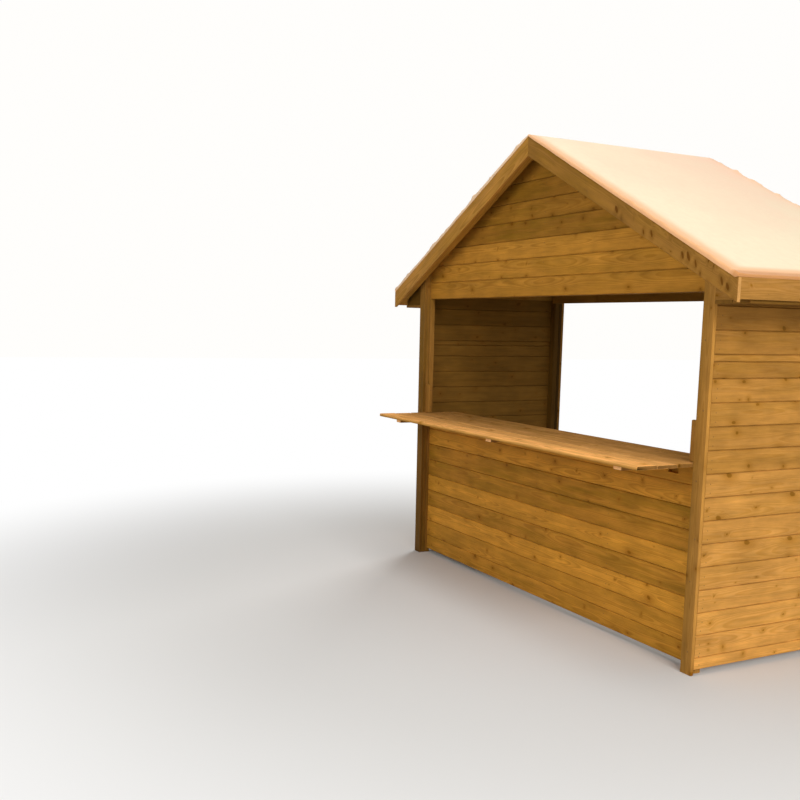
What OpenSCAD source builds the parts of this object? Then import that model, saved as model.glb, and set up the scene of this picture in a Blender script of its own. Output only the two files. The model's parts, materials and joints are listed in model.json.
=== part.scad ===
// Wooden market hut: boarded side walls, an open serving hatch with a plank
// counter, an open back and a gabled roof covered with a snow-white fleece.
// Millimetres, +Z up. The front faces -Y. The origin is on the floor, in the
// middle of the box round the whole hut.

/* [Hut] */
// Width over the corner posts
hut_w = 3000; // [2400:50:3600]
// Depth over the corner posts
hut_d = 1260; // [1100:20:2000]
// Height of the hatch's head, where the gable boards begin
head_z = 1915; // [1850:5:1930]
// Gap between the floor and the lowest wall board
floor_gap = 28; // [10:1:40]

/* [Wall boards] */
// Height of wall that one board covers
board_cover = 117.2; // [95:0.2:130]
// Thickness of a board
board_t = 20; // [16:1:28]
// Number of boards in the front wall, below the counter
front_boards = 8; // [5:1:8]
// Height of the lowest joint between boards on the front wall
front_first_joint = 134; // [110:1:140]
// Height of the lowest joint between boards on the side walls
side_first_joint = 89; // [60:1:120]
// Width of the V-joint between two boards
joint_w = 8; // [4:1:12]
// Depth of the V-joint on the outer face
joint_d = 4; // [2:0.5:6]

/* [Corner posts] */
// Width of the trim board on a corner, seen from the front
trim_w = 76; // [60:1:100]
// Thickness of the trim board
trim_t = 20; // [16:1:28]
// Depth of the post behind the trim board
post_d = 65; // [50:1:90]
// Distance from the front to the seam that splits the post in two
seam_y = 45; // [30:1:60]
// Distance from the front to the boards of the gable
recess = 50; // [40:1:70]
// Distance from the front to the boards of the front wall, below the counter
wall_recess = 65; // [50:1:70]

/* [Counter] */
// Height of the counter's top
counter_z = 1076; // [1060:2:1150]
// Thickness of the counter's planks
plank_t = 20; // [18:1:30]
// Reach of the counter in front of the corner posts
counter_out = 355; // [200:5:450]
// Reach of the counter behind the front of the corner posts
counter_in = 280; // [150:5:350]
// Number of planks in the counter
counter_planks = 5; // [4:1:7]
// Width of an arm under the counter
arm_w = 65; // [40:1:80]
// Height of an arm
arm_h = 28; // [20:1:40]
// Distance of the outer arms from the middle of the hut
arm_x = 1218; // [600:1:1250]
// Distance by which an arm stops short of the counter's front edge
arm_setback = 52; // [20:1:100]
// Height of the cleat that stands on the counter beside a post
cleat_h = 210; // [150:5:300]
// Width of a cleat, seen from the front
cleat_w = 55; // [30:1:70]
// Thickness of a cleat, from front to back
cleat_t = 25; // [18:1:40]
// Distance from the front to a cleat
cleat_y = 24; // [5:1:40]

/* [Roof] */
// Height of the bargeboards' peak
ridge_z = 2843; // [2830:1:2860]
// Slope of the roof, in degrees
pitch = 26.8; // [26.5:0.1:27]
// Reach of the roof beyond a side wall
eave_out = 232; // [200:1:240]
// Reach of the roof beyond the front and the back
verge_out = 95; // [80:5:140]
// Width of a bargeboard
barge_w = 101; // [95:1:105]
// Height of the underside of the boxed eave
soffit_z = 1852; // [1840:1:1860]
// Thickness of the boards under the boxed eave
soffit_t = 18; // [12:1:20]
// Thickness of the fleece
fleece_t = 13; // [8:1:20]
// Strip of roof that the fleece leaves bare along its edges
fleece_bare = 2; // [0:1:20]

/* [Framing] */
// Thickness of the framing timber
frame_t = 45; // [38:1:50]
// Depth of a rafter and of a beam
beam_h = 70; // [60:1:80]
// Number of studs behind the front wall
stud_count = 3; // [1:1:4]

/* [Hidden] */

post_w = trim_w - board_t;
half_w = hut_w / 2;
jamb_x = half_w - trim_w;
wall_x = half_w - board_t;
eave_x = half_w + eave_out;
fascia_x = eave_x - board_t;

front_y = (counter_out - hut_d - verge_out) / 2;
rear_y = front_y + hut_d;
post_back_y = front_y + trim_t + post_d;
board_y = front_y + recess;
frame_y = board_y + board_t;
wall_y = front_y + wall_recess;
verge_y = front_y - verge_out;
barge_back_y = verge_y + board_t;

fall = tan(pitch);
deck_v = board_t / cos(pitch);
barge_v = barge_w / cos(pitch);
beam_v = beam_h / cos(pitch);
fleece_v = fleece_t / cos(pitch);
rafter_bottom_v = deck_v + beam_v;

front_wall_top = front_first_joint + (front_boards - 1) * board_cover;
plank_z = counter_z - plank_t;
plank_w = (counter_out + counter_in) / counter_planks;
notch_w = arm_w + 11;
notch_h = arm_h + 32;
plate_top = roof_z(wall_x - frame_t / 2) - rafter_bottom_v;
ridge_beam_bottom = ridge_z - barge_v + 5;
soffit_top = soffit_z + soffit_t;

pale_wood = [0.80, 0.62, 0.36];
warm_wood = [0.72, 0.52, 0.26];
frame_wood = [0.66, 0.50, 0.28];
snow_white = [0.96, 0.94, 0.90];

// Height of the roof's top face above the point x
function roof_z(x) = ridge_z - fall * abs(x);

// Joints between boards that fall inside a wall from z0 to z1
function joints(z0, z1, first) =
    [for (z = first; z < z1 - joint_w; z = z + board_cover) if (z > z0 + joint_w) z];

// One face of a boarded wall, upwards, with a V cut into it at each joint
function boarded_face(face, inwards, z0, z1, first, depth) = concat(
    [[face, z0]],
    [for (z = joints(z0, z1, first))
        for (p = [[0, -joint_w / 2], [depth, 0], [0, joint_w / 2]])
            [face + inwards * p[0], z + p[1]]],
    [[face, z1]]
);

function reversed(points) = [for (i = [len(points) - 1 : -1 : 0]) points[i]];

// Outline of a boarded wall: deep joints outside, shallow ones inside, and a
// top that may be bevelled from outer_z1 to inner_z1
function boarded_wall(outer, inner, z0, outer_z1, inner_z1, first) = concat(
    boarded_face(outer, sign(inner - outer), z0, outer_z1, first, joint_d),
    reversed(boarded_face(inner, sign(outer - inner), z0, inner_z1, first, joint_d / 2))
);

// Outline of a piece that follows the right slope, between two depths below its top
function slope_band(x0, x1, top_v, bottom_v) = [
    [x0, roof_z(x0) - top_v], [x1, roof_z(x1) - top_v],
    [x1, roof_z(x1) - bottom_v], [x0, roof_z(x0) - bottom_v]
];

// Draws an outline of y and z along X, centred on the hut
module along_x(length) {
    rotate([90, 0, 90]) linear_extrude(length, center = true) children();
}

// Draws an outline of x and z along Y
module along_y(y0, y1) {
    translate([0, y1, 0]) rotate([90, 0, 0]) linear_extrude(y1 - y0) children();
}

// A straight timber between two corners
module timber(x, y, z) {
    translate([x[0], y[0], z[0]]) cube([x[1] - x[0], y[1] - y[0], z[1] - z[0]]);
}

// Turns a piece of the right side into its twin on the left
module on_left() {
    mirror([1, 0, 0]) children();
}

// Turns a piece of the front into its twin at the back
module at_rear() {
    translate([0, front_y + rear_y, 0]) mirror([0, 1, 0]) children();
}

// Post with a V-shaped seam down its inner face, cut to the slope at the top
module post() {
    color(frame_wood) intersection() {
        linear_extrude(ridge_z) polygon([
            [jamb_x, front_y + trim_t],
            [wall_x, front_y + trim_t],
            [wall_x, post_back_y],
            [jamb_x, post_back_y],
            [jamb_x, front_y + seam_y + joint_d],
            [jamb_x + joint_d, front_y + seam_y],
            [jamb_x, front_y + seam_y - joint_d]
        ]);
        along_y(front_y, post_back_y + trim_t) polygon([
            [0, 0], [half_w, 0], [half_w, roof_z(half_w) - deck_v], [0, roof_z(0) - deck_v]
        ]);
    }
}

module corner_trim() {
    color(warm_wood) along_y(front_y, front_y + trim_t) polygon([
        [jamb_x, 0], [half_w, 0],
        [half_w, roof_z(half_w) - deck_v], [jamb_x, roof_z(jamb_x) - deck_v]
    ]);
}

module front_wall() {
    color(warm_wood) along_x(2 * jamb_x)
        polygon(boarded_wall(wall_y, wall_y + board_t, floor_gap, front_wall_top, front_wall_top,
                             front_first_joint));
}

module front_wall_bottom_rail() {
    color(frame_wood) timber([-jamb_x, jamb_x], [wall_y + board_t, wall_y + board_t + frame_t],
                             [floor_gap, floor_gap + frame_t]);
}

// Cut through the rail for one arm, between two distances from its front
module notch(x, y, height) {
    timber([x - notch_w / 2, x + notch_w / 2], [wall_y + y[0], wall_y + y[1]],
           [plank_z - height, plank_z + 1]);
}

// Rail under the counter: the arms lie on its back part, and its front part is
// cut out deeper round them
module front_wall_top_rail() {
    color(warm_wood) difference() {
        timber([-jamb_x, jamb_x], [wall_y, wall_y + frame_t], [front_wall_top, plank_z]);
        for (x = [-arm_x, 0, arm_x]) {
            notch(x, [-1, board_t], notch_h);
            notch(x, [board_t - 1, frame_t + 1], arm_h);
        }
    }
}

module front_wall_studs() {
    spacing = 2 * jamb_x / (stud_count + 1);
    color(frame_wood) for (i = [1 : stud_count])
        timber([i * spacing - jamb_x - frame_t / 2, i * spacing - jamb_x + frame_t / 2],
               [wall_y + board_t, wall_y + board_t + frame_t],
               [floor_gap + frame_t, front_wall_top]);
}

// Side wall, with its top bevelled to fit under the roof boards
module side_wall() {
    color(pale_wood) along_y(front_y + trim_t, rear_y - trim_t)
        polygon(boarded_wall(half_w, wall_x, floor_gap, roof_z(half_w) - deck_v,
                             roof_z(wall_x) - deck_v, side_first_joint));
}

module side_wall_bottom_rail() {
    color(frame_wood) timber([wall_x - frame_t, wall_x],
        [post_back_y, front_y + rear_y - post_back_y], [floor_gap, floor_gap + frame_t]);
}

module side_wall_plate() {
    color(frame_wood) timber([wall_x - frame_t, wall_x],
        [post_back_y, front_y + rear_y - post_back_y], [plate_top - beam_h, plate_top]);
}

// Boarded triangle above the hatch, cut out round the ridge beam
module gable() {
    color(warm_wood) difference() {
        intersection() {
            along_x(2 * jamb_x)
                polygon(boarded_wall(board_y, frame_y, head_z, ridge_z, ridge_z, head_z));
            along_y(board_y - 1, frame_y + 1) polygon([
                [-jamb_x, head_z], [jamb_x, head_z], [jamb_x, roof_z(jamb_x) - deck_v],
                [0, ridge_z - deck_v], [-jamb_x, roof_z(jamb_x) - deck_v]
            ]);
        }
        timber([-frame_t / 2, frame_t / 2], [board_y - 2, frame_y + 2],
               [ridge_beam_bottom, ridge_z]);
    }
}

module lintel() {
    color(frame_wood)
        timber([-jamb_x, jamb_x], [frame_y, frame_y + frame_t], [head_z, head_z + beam_h]);
}

module gable_stud() {
    color(frame_wood) timber([-frame_t / 2, frame_t / 2], [frame_y, frame_y + frame_t],
                             [head_z + beam_h, ridge_beam_bottom]);
}

// Counter of planks that are jointed edge to edge, with a V cut along each joint
module counter_top() {
    y0 = front_y - counter_out;
    y1 = front_y + counter_in;
    v = joint_w / 2;
    color(pale_wood) along_x(2 * jamb_x) polygon(concat(
        [[y0, plank_z + 2], [y0, counter_z - 2], [y0 + 2, counter_z]],
        [for (i = [1 : counter_planks - 1]) for (p = [[-v, 0], [0, -joint_d], [v, 0]])
            [y0 + i * plank_w + p[0], counter_z + p[1]]],
        [[y1 - 2, counter_z], [y1, counter_z - 2], [y1, plank_z]],
        [for (i = [counter_planks - 1 : -1 : 1]) for (p = [[v, 0], [0, joint_d / 2], [-v, 0]])
            [y0 + i * plank_w + p[0], plank_z + p[1]]],
        [[y0 + 2, plank_z]]
    ));
}

module counter_arms() {
    color(pale_wood) for (x = [-arm_x, 0, arm_x])
        timber([x - arm_w / 2, x + arm_w / 2],
               [front_y - counter_out + arm_setback, front_y + counter_in - 10],
               [plank_z - arm_h, plank_z]);
}

module jamb_cleat() {
    color(warm_wood) timber([jamb_x - cleat_w, jamb_x],
        [front_y + cleat_y, front_y + cleat_y + cleat_t], [counter_z, counter_z + cleat_h]);
}

module ridge_beam() {
    side = frame_t / 2;
    color(frame_wood) along_y(barge_back_y, front_y + rear_y - barge_back_y) polygon([
        [-side, ridge_beam_bottom], [side, ridge_beam_bottom],
        [side, roof_z(side) - deck_v], [0, ridge_z - deck_v], [-side, roof_z(side) - deck_v]
    ]);
}

// Rafter of the overhang, from the ridge beam to the fascia
module verge_rafter() {
    along_y(barge_back_y, barge_back_y + frame_t)
        polygon(slope_band(frame_t / 2, fascia_x, deck_v, rafter_bottom_v));
}

// Rafter inside the gable, from the ridge beam to the corner post
module gable_rafter() {
    along_y(frame_y, frame_y + frame_t)
        polygon(slope_band(frame_t / 2, jamb_x, deck_v, rafter_bottom_v));
}

// Rafter halfway along the roof, with a birdsmouth where it sits on the wall plate
module middle_rafter() {
    middle = (front_y + rear_y) / 2;
    seat_x = wall_x - frame_t / 2;
    along_y(middle - frame_t / 2, middle + frame_t / 2) polygon([
        [frame_t / 2, roof_z(frame_t / 2) - deck_v],
        [wall_x, roof_z(wall_x) - deck_v],
        [wall_x, plate_top],
        [seat_x, plate_top],
        [frame_t / 2, roof_z(frame_t / 2) - rafter_bottom_v]
    ]);
}

module rafters() {
    color(frame_wood) {
        verge_rafter();
        gable_rafter();
        middle_rafter();
        at_rear() gable_rafter();
        at_rear() verge_rafter();
    }
}

// Roof boards of one slope, with a V-joint between boards on the underside
module roof_deck() {
    run = board_cover * cos(pitch);
    count = floor(fascia_x / run);
    color(warm_wood) along_y(verge_y + board_t, front_y + rear_y - barge_back_y) polygon(concat(
        [[0, ridge_z], [fascia_x, roof_z(fascia_x)], [fascia_x, roof_z(fascia_x) - deck_v]],
        [for (i = [count - 1 : -1 : 1])
            for (p = [[joint_w / 2, 0], [0, joint_d / 2], [-joint_w / 2, 0]])
                [i * run + p[0], roof_z(i * run + p[0]) - deck_v + p[1]]],
        [[0, ridge_z - deck_v]]
    ));
}

module bargeboard() {
    color(warm_wood) along_y(verge_y, barge_back_y)
        polygon(slope_band(0, eave_x, 0, barge_v));
}

// Board along the eave, bevelled at the top and standing on the soffit
module fascia() {
    color(pale_wood) along_y(barge_back_y, front_y + rear_y - barge_back_y) polygon([
        [fascia_x, soffit_top], [eave_x, soffit_top],
        [eave_x, roof_z(eave_x)], [fascia_x, roof_z(fascia_x)]
    ]);
}

module soffit() {
    color(pale_wood)
        timber([half_w, eave_x - board_t / 2], [front_y, rear_y], [soffit_z, soffit_top]);
}

// Triangle that closes the boxed eave, standing on the soffit
module eave_end() {
    color(warm_wood) along_y(front_y, front_y + board_t) polygon([
        [half_w, soffit_top], [fascia_x, soffit_top],
        [fascia_x, roof_z(fascia_x) - deck_v], [half_w, roof_z(half_w) - deck_v]
    ]);
}

// Outline of the fleece's right half: a soft edge, and a peak worn round
function fleece_half() = let (edge = eave_x - fleece_bare, soft = 0.6 * fleece_t) [
    [edge, roof_z(edge)],
    [edge, roof_z(edge) + 0.5 * fleece_v],
    [edge - 0.3 * soft, roof_z(edge - 0.3 * soft) + 0.8 * fleece_v],
    [edge - soft, roof_z(edge - soft) + fleece_v],
    [2 * fleece_t, roof_z(2 * fleece_t) + fleece_v],
    [fleece_t, roof_z(fleece_t) + 0.9 * fleece_v]
];

module snow_fleece() {
    right = fleece_half();
    color(snow_white) along_y(verge_y + fleece_bare, front_y + rear_y - verge_y - fleece_bare)
        polygon(concat(
            [[0, ridge_z]], right, [[0, ridge_z + 0.75 * fleece_v]],
            [for (p = reversed(right)) [-p[0], p[1]]]
        ));
}

on_left() post();  // front_left_post
post();  // front_right_post
at_rear() on_left() post();  // rear_left_post
at_rear() post();  // rear_right_post
on_left() corner_trim();  // front_left_trim
corner_trim();  // front_right_trim
at_rear() on_left() corner_trim();  // rear_left_trim
at_rear() corner_trim();  // rear_right_trim
front_wall();
front_wall_bottom_rail();
front_wall_top_rail();
front_wall_studs();
on_left() side_wall();  // left_wall
side_wall();  // right_wall
on_left() side_wall_bottom_rail();  // left_wall_bottom_rail
side_wall_bottom_rail();  // right_wall_bottom_rail
on_left() side_wall_plate();  // left_wall_plate
side_wall_plate();  // right_wall_plate
gable();  // front_gable
at_rear() gable();  // rear_gable
lintel();  // front_lintel
at_rear() lintel();  // rear_lintel
union() { gable_stud(); at_rear() gable_stud(); }  // gable_studs
counter_top();
counter_arms();
on_left() jamb_cleat();  // left_jamb_cleat
jamb_cleat();  // right_jamb_cleat
ridge_beam();
on_left() rafters();  // left_rafters
rafters();  // right_rafters
on_left() roof_deck();  // left_roof_deck
roof_deck();  // right_roof_deck
on_left() bargeboard();  // front_left_bargeboard
bargeboard();  // front_right_bargeboard
at_rear() on_left() bargeboard();  // rear_left_bargeboard
at_rear() bargeboard();  // rear_right_bargeboard
on_left() fascia();  // left_fascia
fascia();  // right_fascia
on_left() soffit();  // left_soffit
soffit();  // right_soffit
on_left() { eave_end(); at_rear() eave_end(); }  // left_eave_ends
union() { eave_end(); at_rear() eave_end(); }  // right_eave_ends
snow_fleece();
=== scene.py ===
"""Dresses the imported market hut: boards, timbers, fixings and the fleece on its roof.

Every length is in metres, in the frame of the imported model. The front faces -Y and
the floor is at z = 0.
"""

from __future__ import annotations

import json
import logging
import math
import random
from dataclasses import dataclass, field
from enum import Enum
from functools import cache
from itertools import product
from typing import Callable, Iterable, Iterator, NamedTuple, Sequence

import bmesh
import bpy
from mathutils import Euler, Matrix, Vector, noise

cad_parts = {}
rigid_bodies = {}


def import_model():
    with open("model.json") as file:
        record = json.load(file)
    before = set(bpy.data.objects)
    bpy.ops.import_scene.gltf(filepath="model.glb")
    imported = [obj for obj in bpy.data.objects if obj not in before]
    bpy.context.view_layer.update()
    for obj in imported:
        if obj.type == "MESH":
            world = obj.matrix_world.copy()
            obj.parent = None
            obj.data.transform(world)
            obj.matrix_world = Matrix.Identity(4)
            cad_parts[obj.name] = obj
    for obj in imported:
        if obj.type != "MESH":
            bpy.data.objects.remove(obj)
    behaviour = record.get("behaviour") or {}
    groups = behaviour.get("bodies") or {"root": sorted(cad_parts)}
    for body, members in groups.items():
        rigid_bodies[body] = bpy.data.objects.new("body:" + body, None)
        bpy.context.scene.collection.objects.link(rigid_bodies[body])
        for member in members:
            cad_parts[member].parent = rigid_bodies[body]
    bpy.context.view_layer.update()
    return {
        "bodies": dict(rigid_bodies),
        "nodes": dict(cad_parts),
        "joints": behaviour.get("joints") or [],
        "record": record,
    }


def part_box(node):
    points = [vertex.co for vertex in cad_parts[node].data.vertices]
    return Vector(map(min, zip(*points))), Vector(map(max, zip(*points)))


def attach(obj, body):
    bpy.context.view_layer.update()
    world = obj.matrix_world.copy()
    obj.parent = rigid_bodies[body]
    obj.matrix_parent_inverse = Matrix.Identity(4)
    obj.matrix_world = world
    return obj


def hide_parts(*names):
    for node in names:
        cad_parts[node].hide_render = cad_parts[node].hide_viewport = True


LOG = logging.getLogger("market_hut")

SEED = 20
ROOT = "root"

NAIL_LINES = (0.26, 0.74)
NAIL_STRAY = 0.004
LOWEST_BOARD = 0.01

Point2 = tuple[float, float]
Colour = tuple[float, float, float]


class Named(Enum):
    """A choice whose name stands in the names of nodes."""

    @property
    def word(self) -> str:
        """Its name as the nodes carry it."""
        return self.name.lower()


class Side(Named):
    """Left or right half of the hut, as the sign of x."""

    LEFT = -1
    RIGHT = 1


class Face(Named):
    """Front or back of the hut, as the sign of y that faces outwards."""

    FRONT = -1
    REAR = 1


class Run(Named):
    """Direction in which the grain of a plain timber runs, as XYZ angles."""

    ALONG_X = (0.0, 0.0, 0.0)
    ALONG_Y = (0.0, 0.0, math.radians(-90))
    ALONG_Z = (0.0, math.radians(90), 0.0)
    DOWN_LEFT = (0.0, math.radians(26.8), 0.0)
    DOWN_RIGHT = (0.0, math.radians(-26.8), 0.0)


class Look(NamedTuple):
    """How one board differs from the next.

    Attributes:
        tone: lighter above 0, darker below. In places it also holds painted light and shade.
        green: how much of the treatment's green shows, from 0 to 1.
        knots: share of the places for a knot that hold one.
    """

    tone: float = 0.0
    green: float = 0.3
    knots: float = 0.35

    def towards(self, other: Look, share: float) -> tuple[float, ...]:
        """Blends into another look and returns the tone, green and knots."""
        return tuple(mine + (theirs - mine) * share for mine, theirs in zip(self, other))


@dataclass(frozen=True)
class Survey:
    """Sizes of the hut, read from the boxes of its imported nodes, and a board's cover."""

    half_width: float
    wall_in: float
    jamb: float
    front: float
    rear: float
    trim_back: float
    post_back: float
    eave: float
    fascia_in: float
    ridge: float
    fall: float
    deck_v: float
    barge_v: float
    board_t: float
    wall_foot: float
    head: float
    gable_y: float
    cover: float = 0.1172

    @classmethod
    def from_frame(cls) -> Survey:
        """Reads the sizes.

        Returns:
            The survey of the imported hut.
        """
        wall_lo, wall_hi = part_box("right_wall")
        trim_lo, trim_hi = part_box("front_right_trim")
        fascia_lo, fascia_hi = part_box("right_fascia")
        barge_lo, barge_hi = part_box("front_right_bargeboard")
        front_lo, front_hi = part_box("front_wall")
        gable_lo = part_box("front_gable")[0]
        ridge = barge_hi.z
        fall = (ridge - fascia_hi.z) / fascia_lo.x
        return cls(
            half_width=wall_hi.x, wall_in=wall_lo.x, jamb=trim_lo.x,
            front=trim_lo.y, rear=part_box("rear_right_trim")[1].y,
            trim_back=trim_hi.y, post_back=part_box("front_right_post")[1].y,
            eave=fascia_hi.x, fascia_in=fascia_lo.x, ridge=ridge, fall=fall,
            deck_v=ridge - fall * fascia_lo.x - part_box("right_roof_deck")[0].z,
            barge_v=ridge - fall * fascia_hi.x - barge_lo.z,
            board_t=front_hi.y - front_lo.y,
            wall_foot=front_lo.z, head=gable_lo.z, gable_y=gable_lo.y,
        )

    def roof(self, x: float, down: float = 0.0) -> float:
        """Height of the roof boards' top above x, less a plumb distance."""
        return self.ridge - self.fall * abs(x) - down

    @property
    def slope(self) -> float:
        """Angle of the roof, in radians."""
        return math.atan(self.fall)

    def mirrored_y(self, y: float, face: Face) -> float:
        """Moves a y of the front to the same place on the given face."""
        return y if face is Face.FRONT else self.front + self.rear - y


class Cut(NamedTuple):
    """Plane that ends a timber: x = at + per_a * a + per_b * b in its own axes."""

    at: float
    per_a: float = 0.0
    per_b: float = 0.0

    def place(self, a: float, b: float) -> float:
        """Position along the timber where the plane meets the line through a, b."""
        return self.at + self.per_a * a + self.per_b * b


def square(low: float, high: float) -> tuple[Cut, Cut]:
    """Two cuts square to a timber, one at each end."""
    return Cut(low), Cut(high)


@dataclass(frozen=True)
class Timber:
    """A straight piece of wood: an outline drawn along a line between two cuts.

    Attributes:
        outline: points (a, b), anticlockwise when seen against the run.
        ends: cuts at the near and the far end.
        axes: matrix whose columns are the run, a and b directions and the origin.
        look: how the wood differs from its neighbours.
        far: look of its far end, where it changes along its length.
        grooves: depth of dirt at each outline point, from 0 to 1.
        shaded: painted shade at each outline point, or painted light below 0.
        Left out, the inner face of a grooved board gets painted shade.
        chamfer: bevel at both ends.
    """

    outline: Sequence[Point2]
    ends: tuple[Cut, Cut]
    axes: Matrix
    look: Look = Look()
    far: Look | None = None
    grooves: Sequence[float] = ()
    shaded: Sequence[float] = ()
    chamfer: float = 0.0


def axes_of(origin: Sequence[float], run: Sequence[float], a: Sequence[float]) -> Matrix:
    """Builds a timber's axes.

    Args:
        origin: where its own coordinates are zero.
        run: direction of its length.
        a: direction of the outline's first coordinate.

    Returns:
        A matrix from the timber's coordinates to the hut's, right-handed.
    """
    x, y = Vector(run).normalized(), Vector(a).normalized()
    matrix = Matrix((x, y, x.cross(y))).transposed().to_4x4()
    matrix.translation = Vector(origin)
    return matrix


LEVEL = axes_of((0, 0, 0), (1, 0, 0), (0, 1, 0))
PLUMB = axes_of((0, 0, 0), (0, 0, 1), (1, 0, 0))


def rectangle(a: Point2, b: Point2, arris: float = 0.0015) -> list[Point2]:
    """Outline of a planed timber with its four edges taken off.

    Args:
        a: lowest and highest first coordinate.
        b: lowest and highest second coordinate.
        arris: width of the bevel.

    Returns:
        Eight points, anticlockwise.
    """
    return [
        (a[0] + arris, b[0]), (a[1] - arris, b[0]), (a[1], b[0] + arris), (a[1], b[1] - arris),
        (a[1] - arris, b[1]), (a[0] + arris, b[1]), (a[0], b[1] - arris), (a[0], b[0] + arris),
    ]


@dataclass(frozen=True)
class BoardProfile:
    """Tongue-and-groove board. a runs from its outer face inwards and b runs up."""

    thickness: float
    cover: float
    bevel: float = 0.0048
    back_bevel: float = 0.004
    gap: float = 0.0009
    tongue: float = 0.0055
    tongue_reach: float = 0.007
    tongue_play: float = 0.002

    JOINT_DIRT = [0.35, 1.0, 1.0, 1.0, 1.0, 1.0, 1.0, 0.35]
    EDGE_DIRT = [0.1, 0.1]

    def joint(self, base: float, up: int, step: float) -> list[Point2]:
        """Draws one edge of the board, from its inner face to its outer face.

        Args:
            base: height at which the boards meet.
            up: 1 where the board lies above the joint, -1 where it lies below.
            step: height of the tongue's end or the groove's floor.

        Returns:
            Its eight points.
        """
        t = self.thickness
        low, high = (t - self.tongue) / 2, (t + self.tongue) / 2
        return [(t, base + up * self.back_bevel), (t - self.back_bevel, base), (high, base),
                (high, step), (low, step), (low, base), (self.bevel, base),
                (0.0, base + up * self.bevel)]

    def outline(
        self, height: float | None = None, tongue: bool = True, back: float | None = None
    ) -> tuple[list[Point2], list[float]]:
        """Draws the board from its foot at b = 0.

        Args:
            height: height of the outer face, or None for a whole board.
            tongue: whether the board keeps its tongue and the joint above it.
            back: height of the inner face, where a board without a tongue is bevelled.

        Returns:
            The outline and how deep each of its points lies in a joint.
        """
        height = self.cover if height is None else height
        points = self.joint(self.gap / 2, 1, self.tongue_reach + self.tongue_play)
        if tongue:
            top = height - self.gap / 2
            points += reversed(self.joint(top, -1, top + self.tongue_reach))
            dirt = self.JOINT_DIRT * 2
        else:
            points += [(0.0, height), (self.thickness, height if back is None else back)]
            dirt = self.JOINT_DIRT + self.EDGE_DIRT
        return points[::-1], dirt[::-1]

    def board(
        self, ends: tuple[Cut, Cut], axes: Matrix = LEVEL, look: Look = Look(), **shape: object
    ) -> Timber:
        """Makes a board. Shape holds what outline takes, for one that isn't whole."""
        points, dirt = self.outline(**shape)
        return Timber(points, ends, axes, look, grooves=dirt)


def put_in_scene(thing: bpy.types.Object) -> bpy.types.Object:
    """Links an object to the scene's collection and returns it."""
    bpy.context.scene.collection.objects.link(thing)
    return thing


def new_mesh(
    name: str, points: Sequence[Sequence[float]], faces: Sequence[Sequence[int]] = (),
    material: bpy.types.Material | None = None,
) -> bpy.types.Mesh:
    """Makes a mesh.

    Args:
        name: its name.
        points: its points.
        faces: its faces, as numbers of points.
        material: its finish.

    Returns:
        The mesh.
    """
    mesh = bpy.data.meshes.new(name)
    mesh.from_pydata(points, [], faces)
    if material is not None:
        mesh.materials.append(material)
    return mesh


def store(
    mesh: bpy.types.Mesh, key: str, values: Sequence[object], domain: str = "POINT"
) -> None:
    """Stores an attribute of numbers or of vectors.

    Args:
        mesh: the mesh.
        key: name of the attribute.
        values: a value for each point or face.
        domain: POINT or FACE.
    """
    plain = isinstance(values[0], float)
    attribute = mesh.attributes.new(key, "FLOAT" if plain else "FLOAT_VECTOR", domain)
    flat = values if plain else [part for value in values for part in value]
    attribute.data.foreach_set("value" if plain else "vector", flat)


def closed(mesh: bpy.types.Mesh) -> bpy.types.Object:
    """Turns every face of a closed mesh outwards.

    Args:
        mesh: the mesh to mend.

    Returns:
        An object of its name, in the scene.
    """
    mesh.validate()
    work = bmesh.new()
    work.from_mesh(mesh)
    bmesh.ops.recalc_face_normals(work, faces=work.faces)
    work.to_mesh(mesh)
    work.free()
    return put_in_scene(bpy.data.objects.new(mesh.name, mesh))


def tube(base: int, count: int, rings: int) -> list[list[int]]:
    """Lists the faces of a tube that is closed at both ends.

    Args:
        base: number of its first point.
        count: points in a ring.
        rings: number of rings.

    Returns:
        The faces, with the two ends last.
    """
    faces = []
    for here in range(base, base + (rings - 1) * count, count):
        for i in range(count):
            j = (i + 1) % count
            faces.append([here + i, here + j, here + count + j, here + count + i])
    last = base + (rings - 1) * count
    return [*faces, [base + i for i in reversed(range(count))], [last + i for i in range(count)]]


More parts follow.
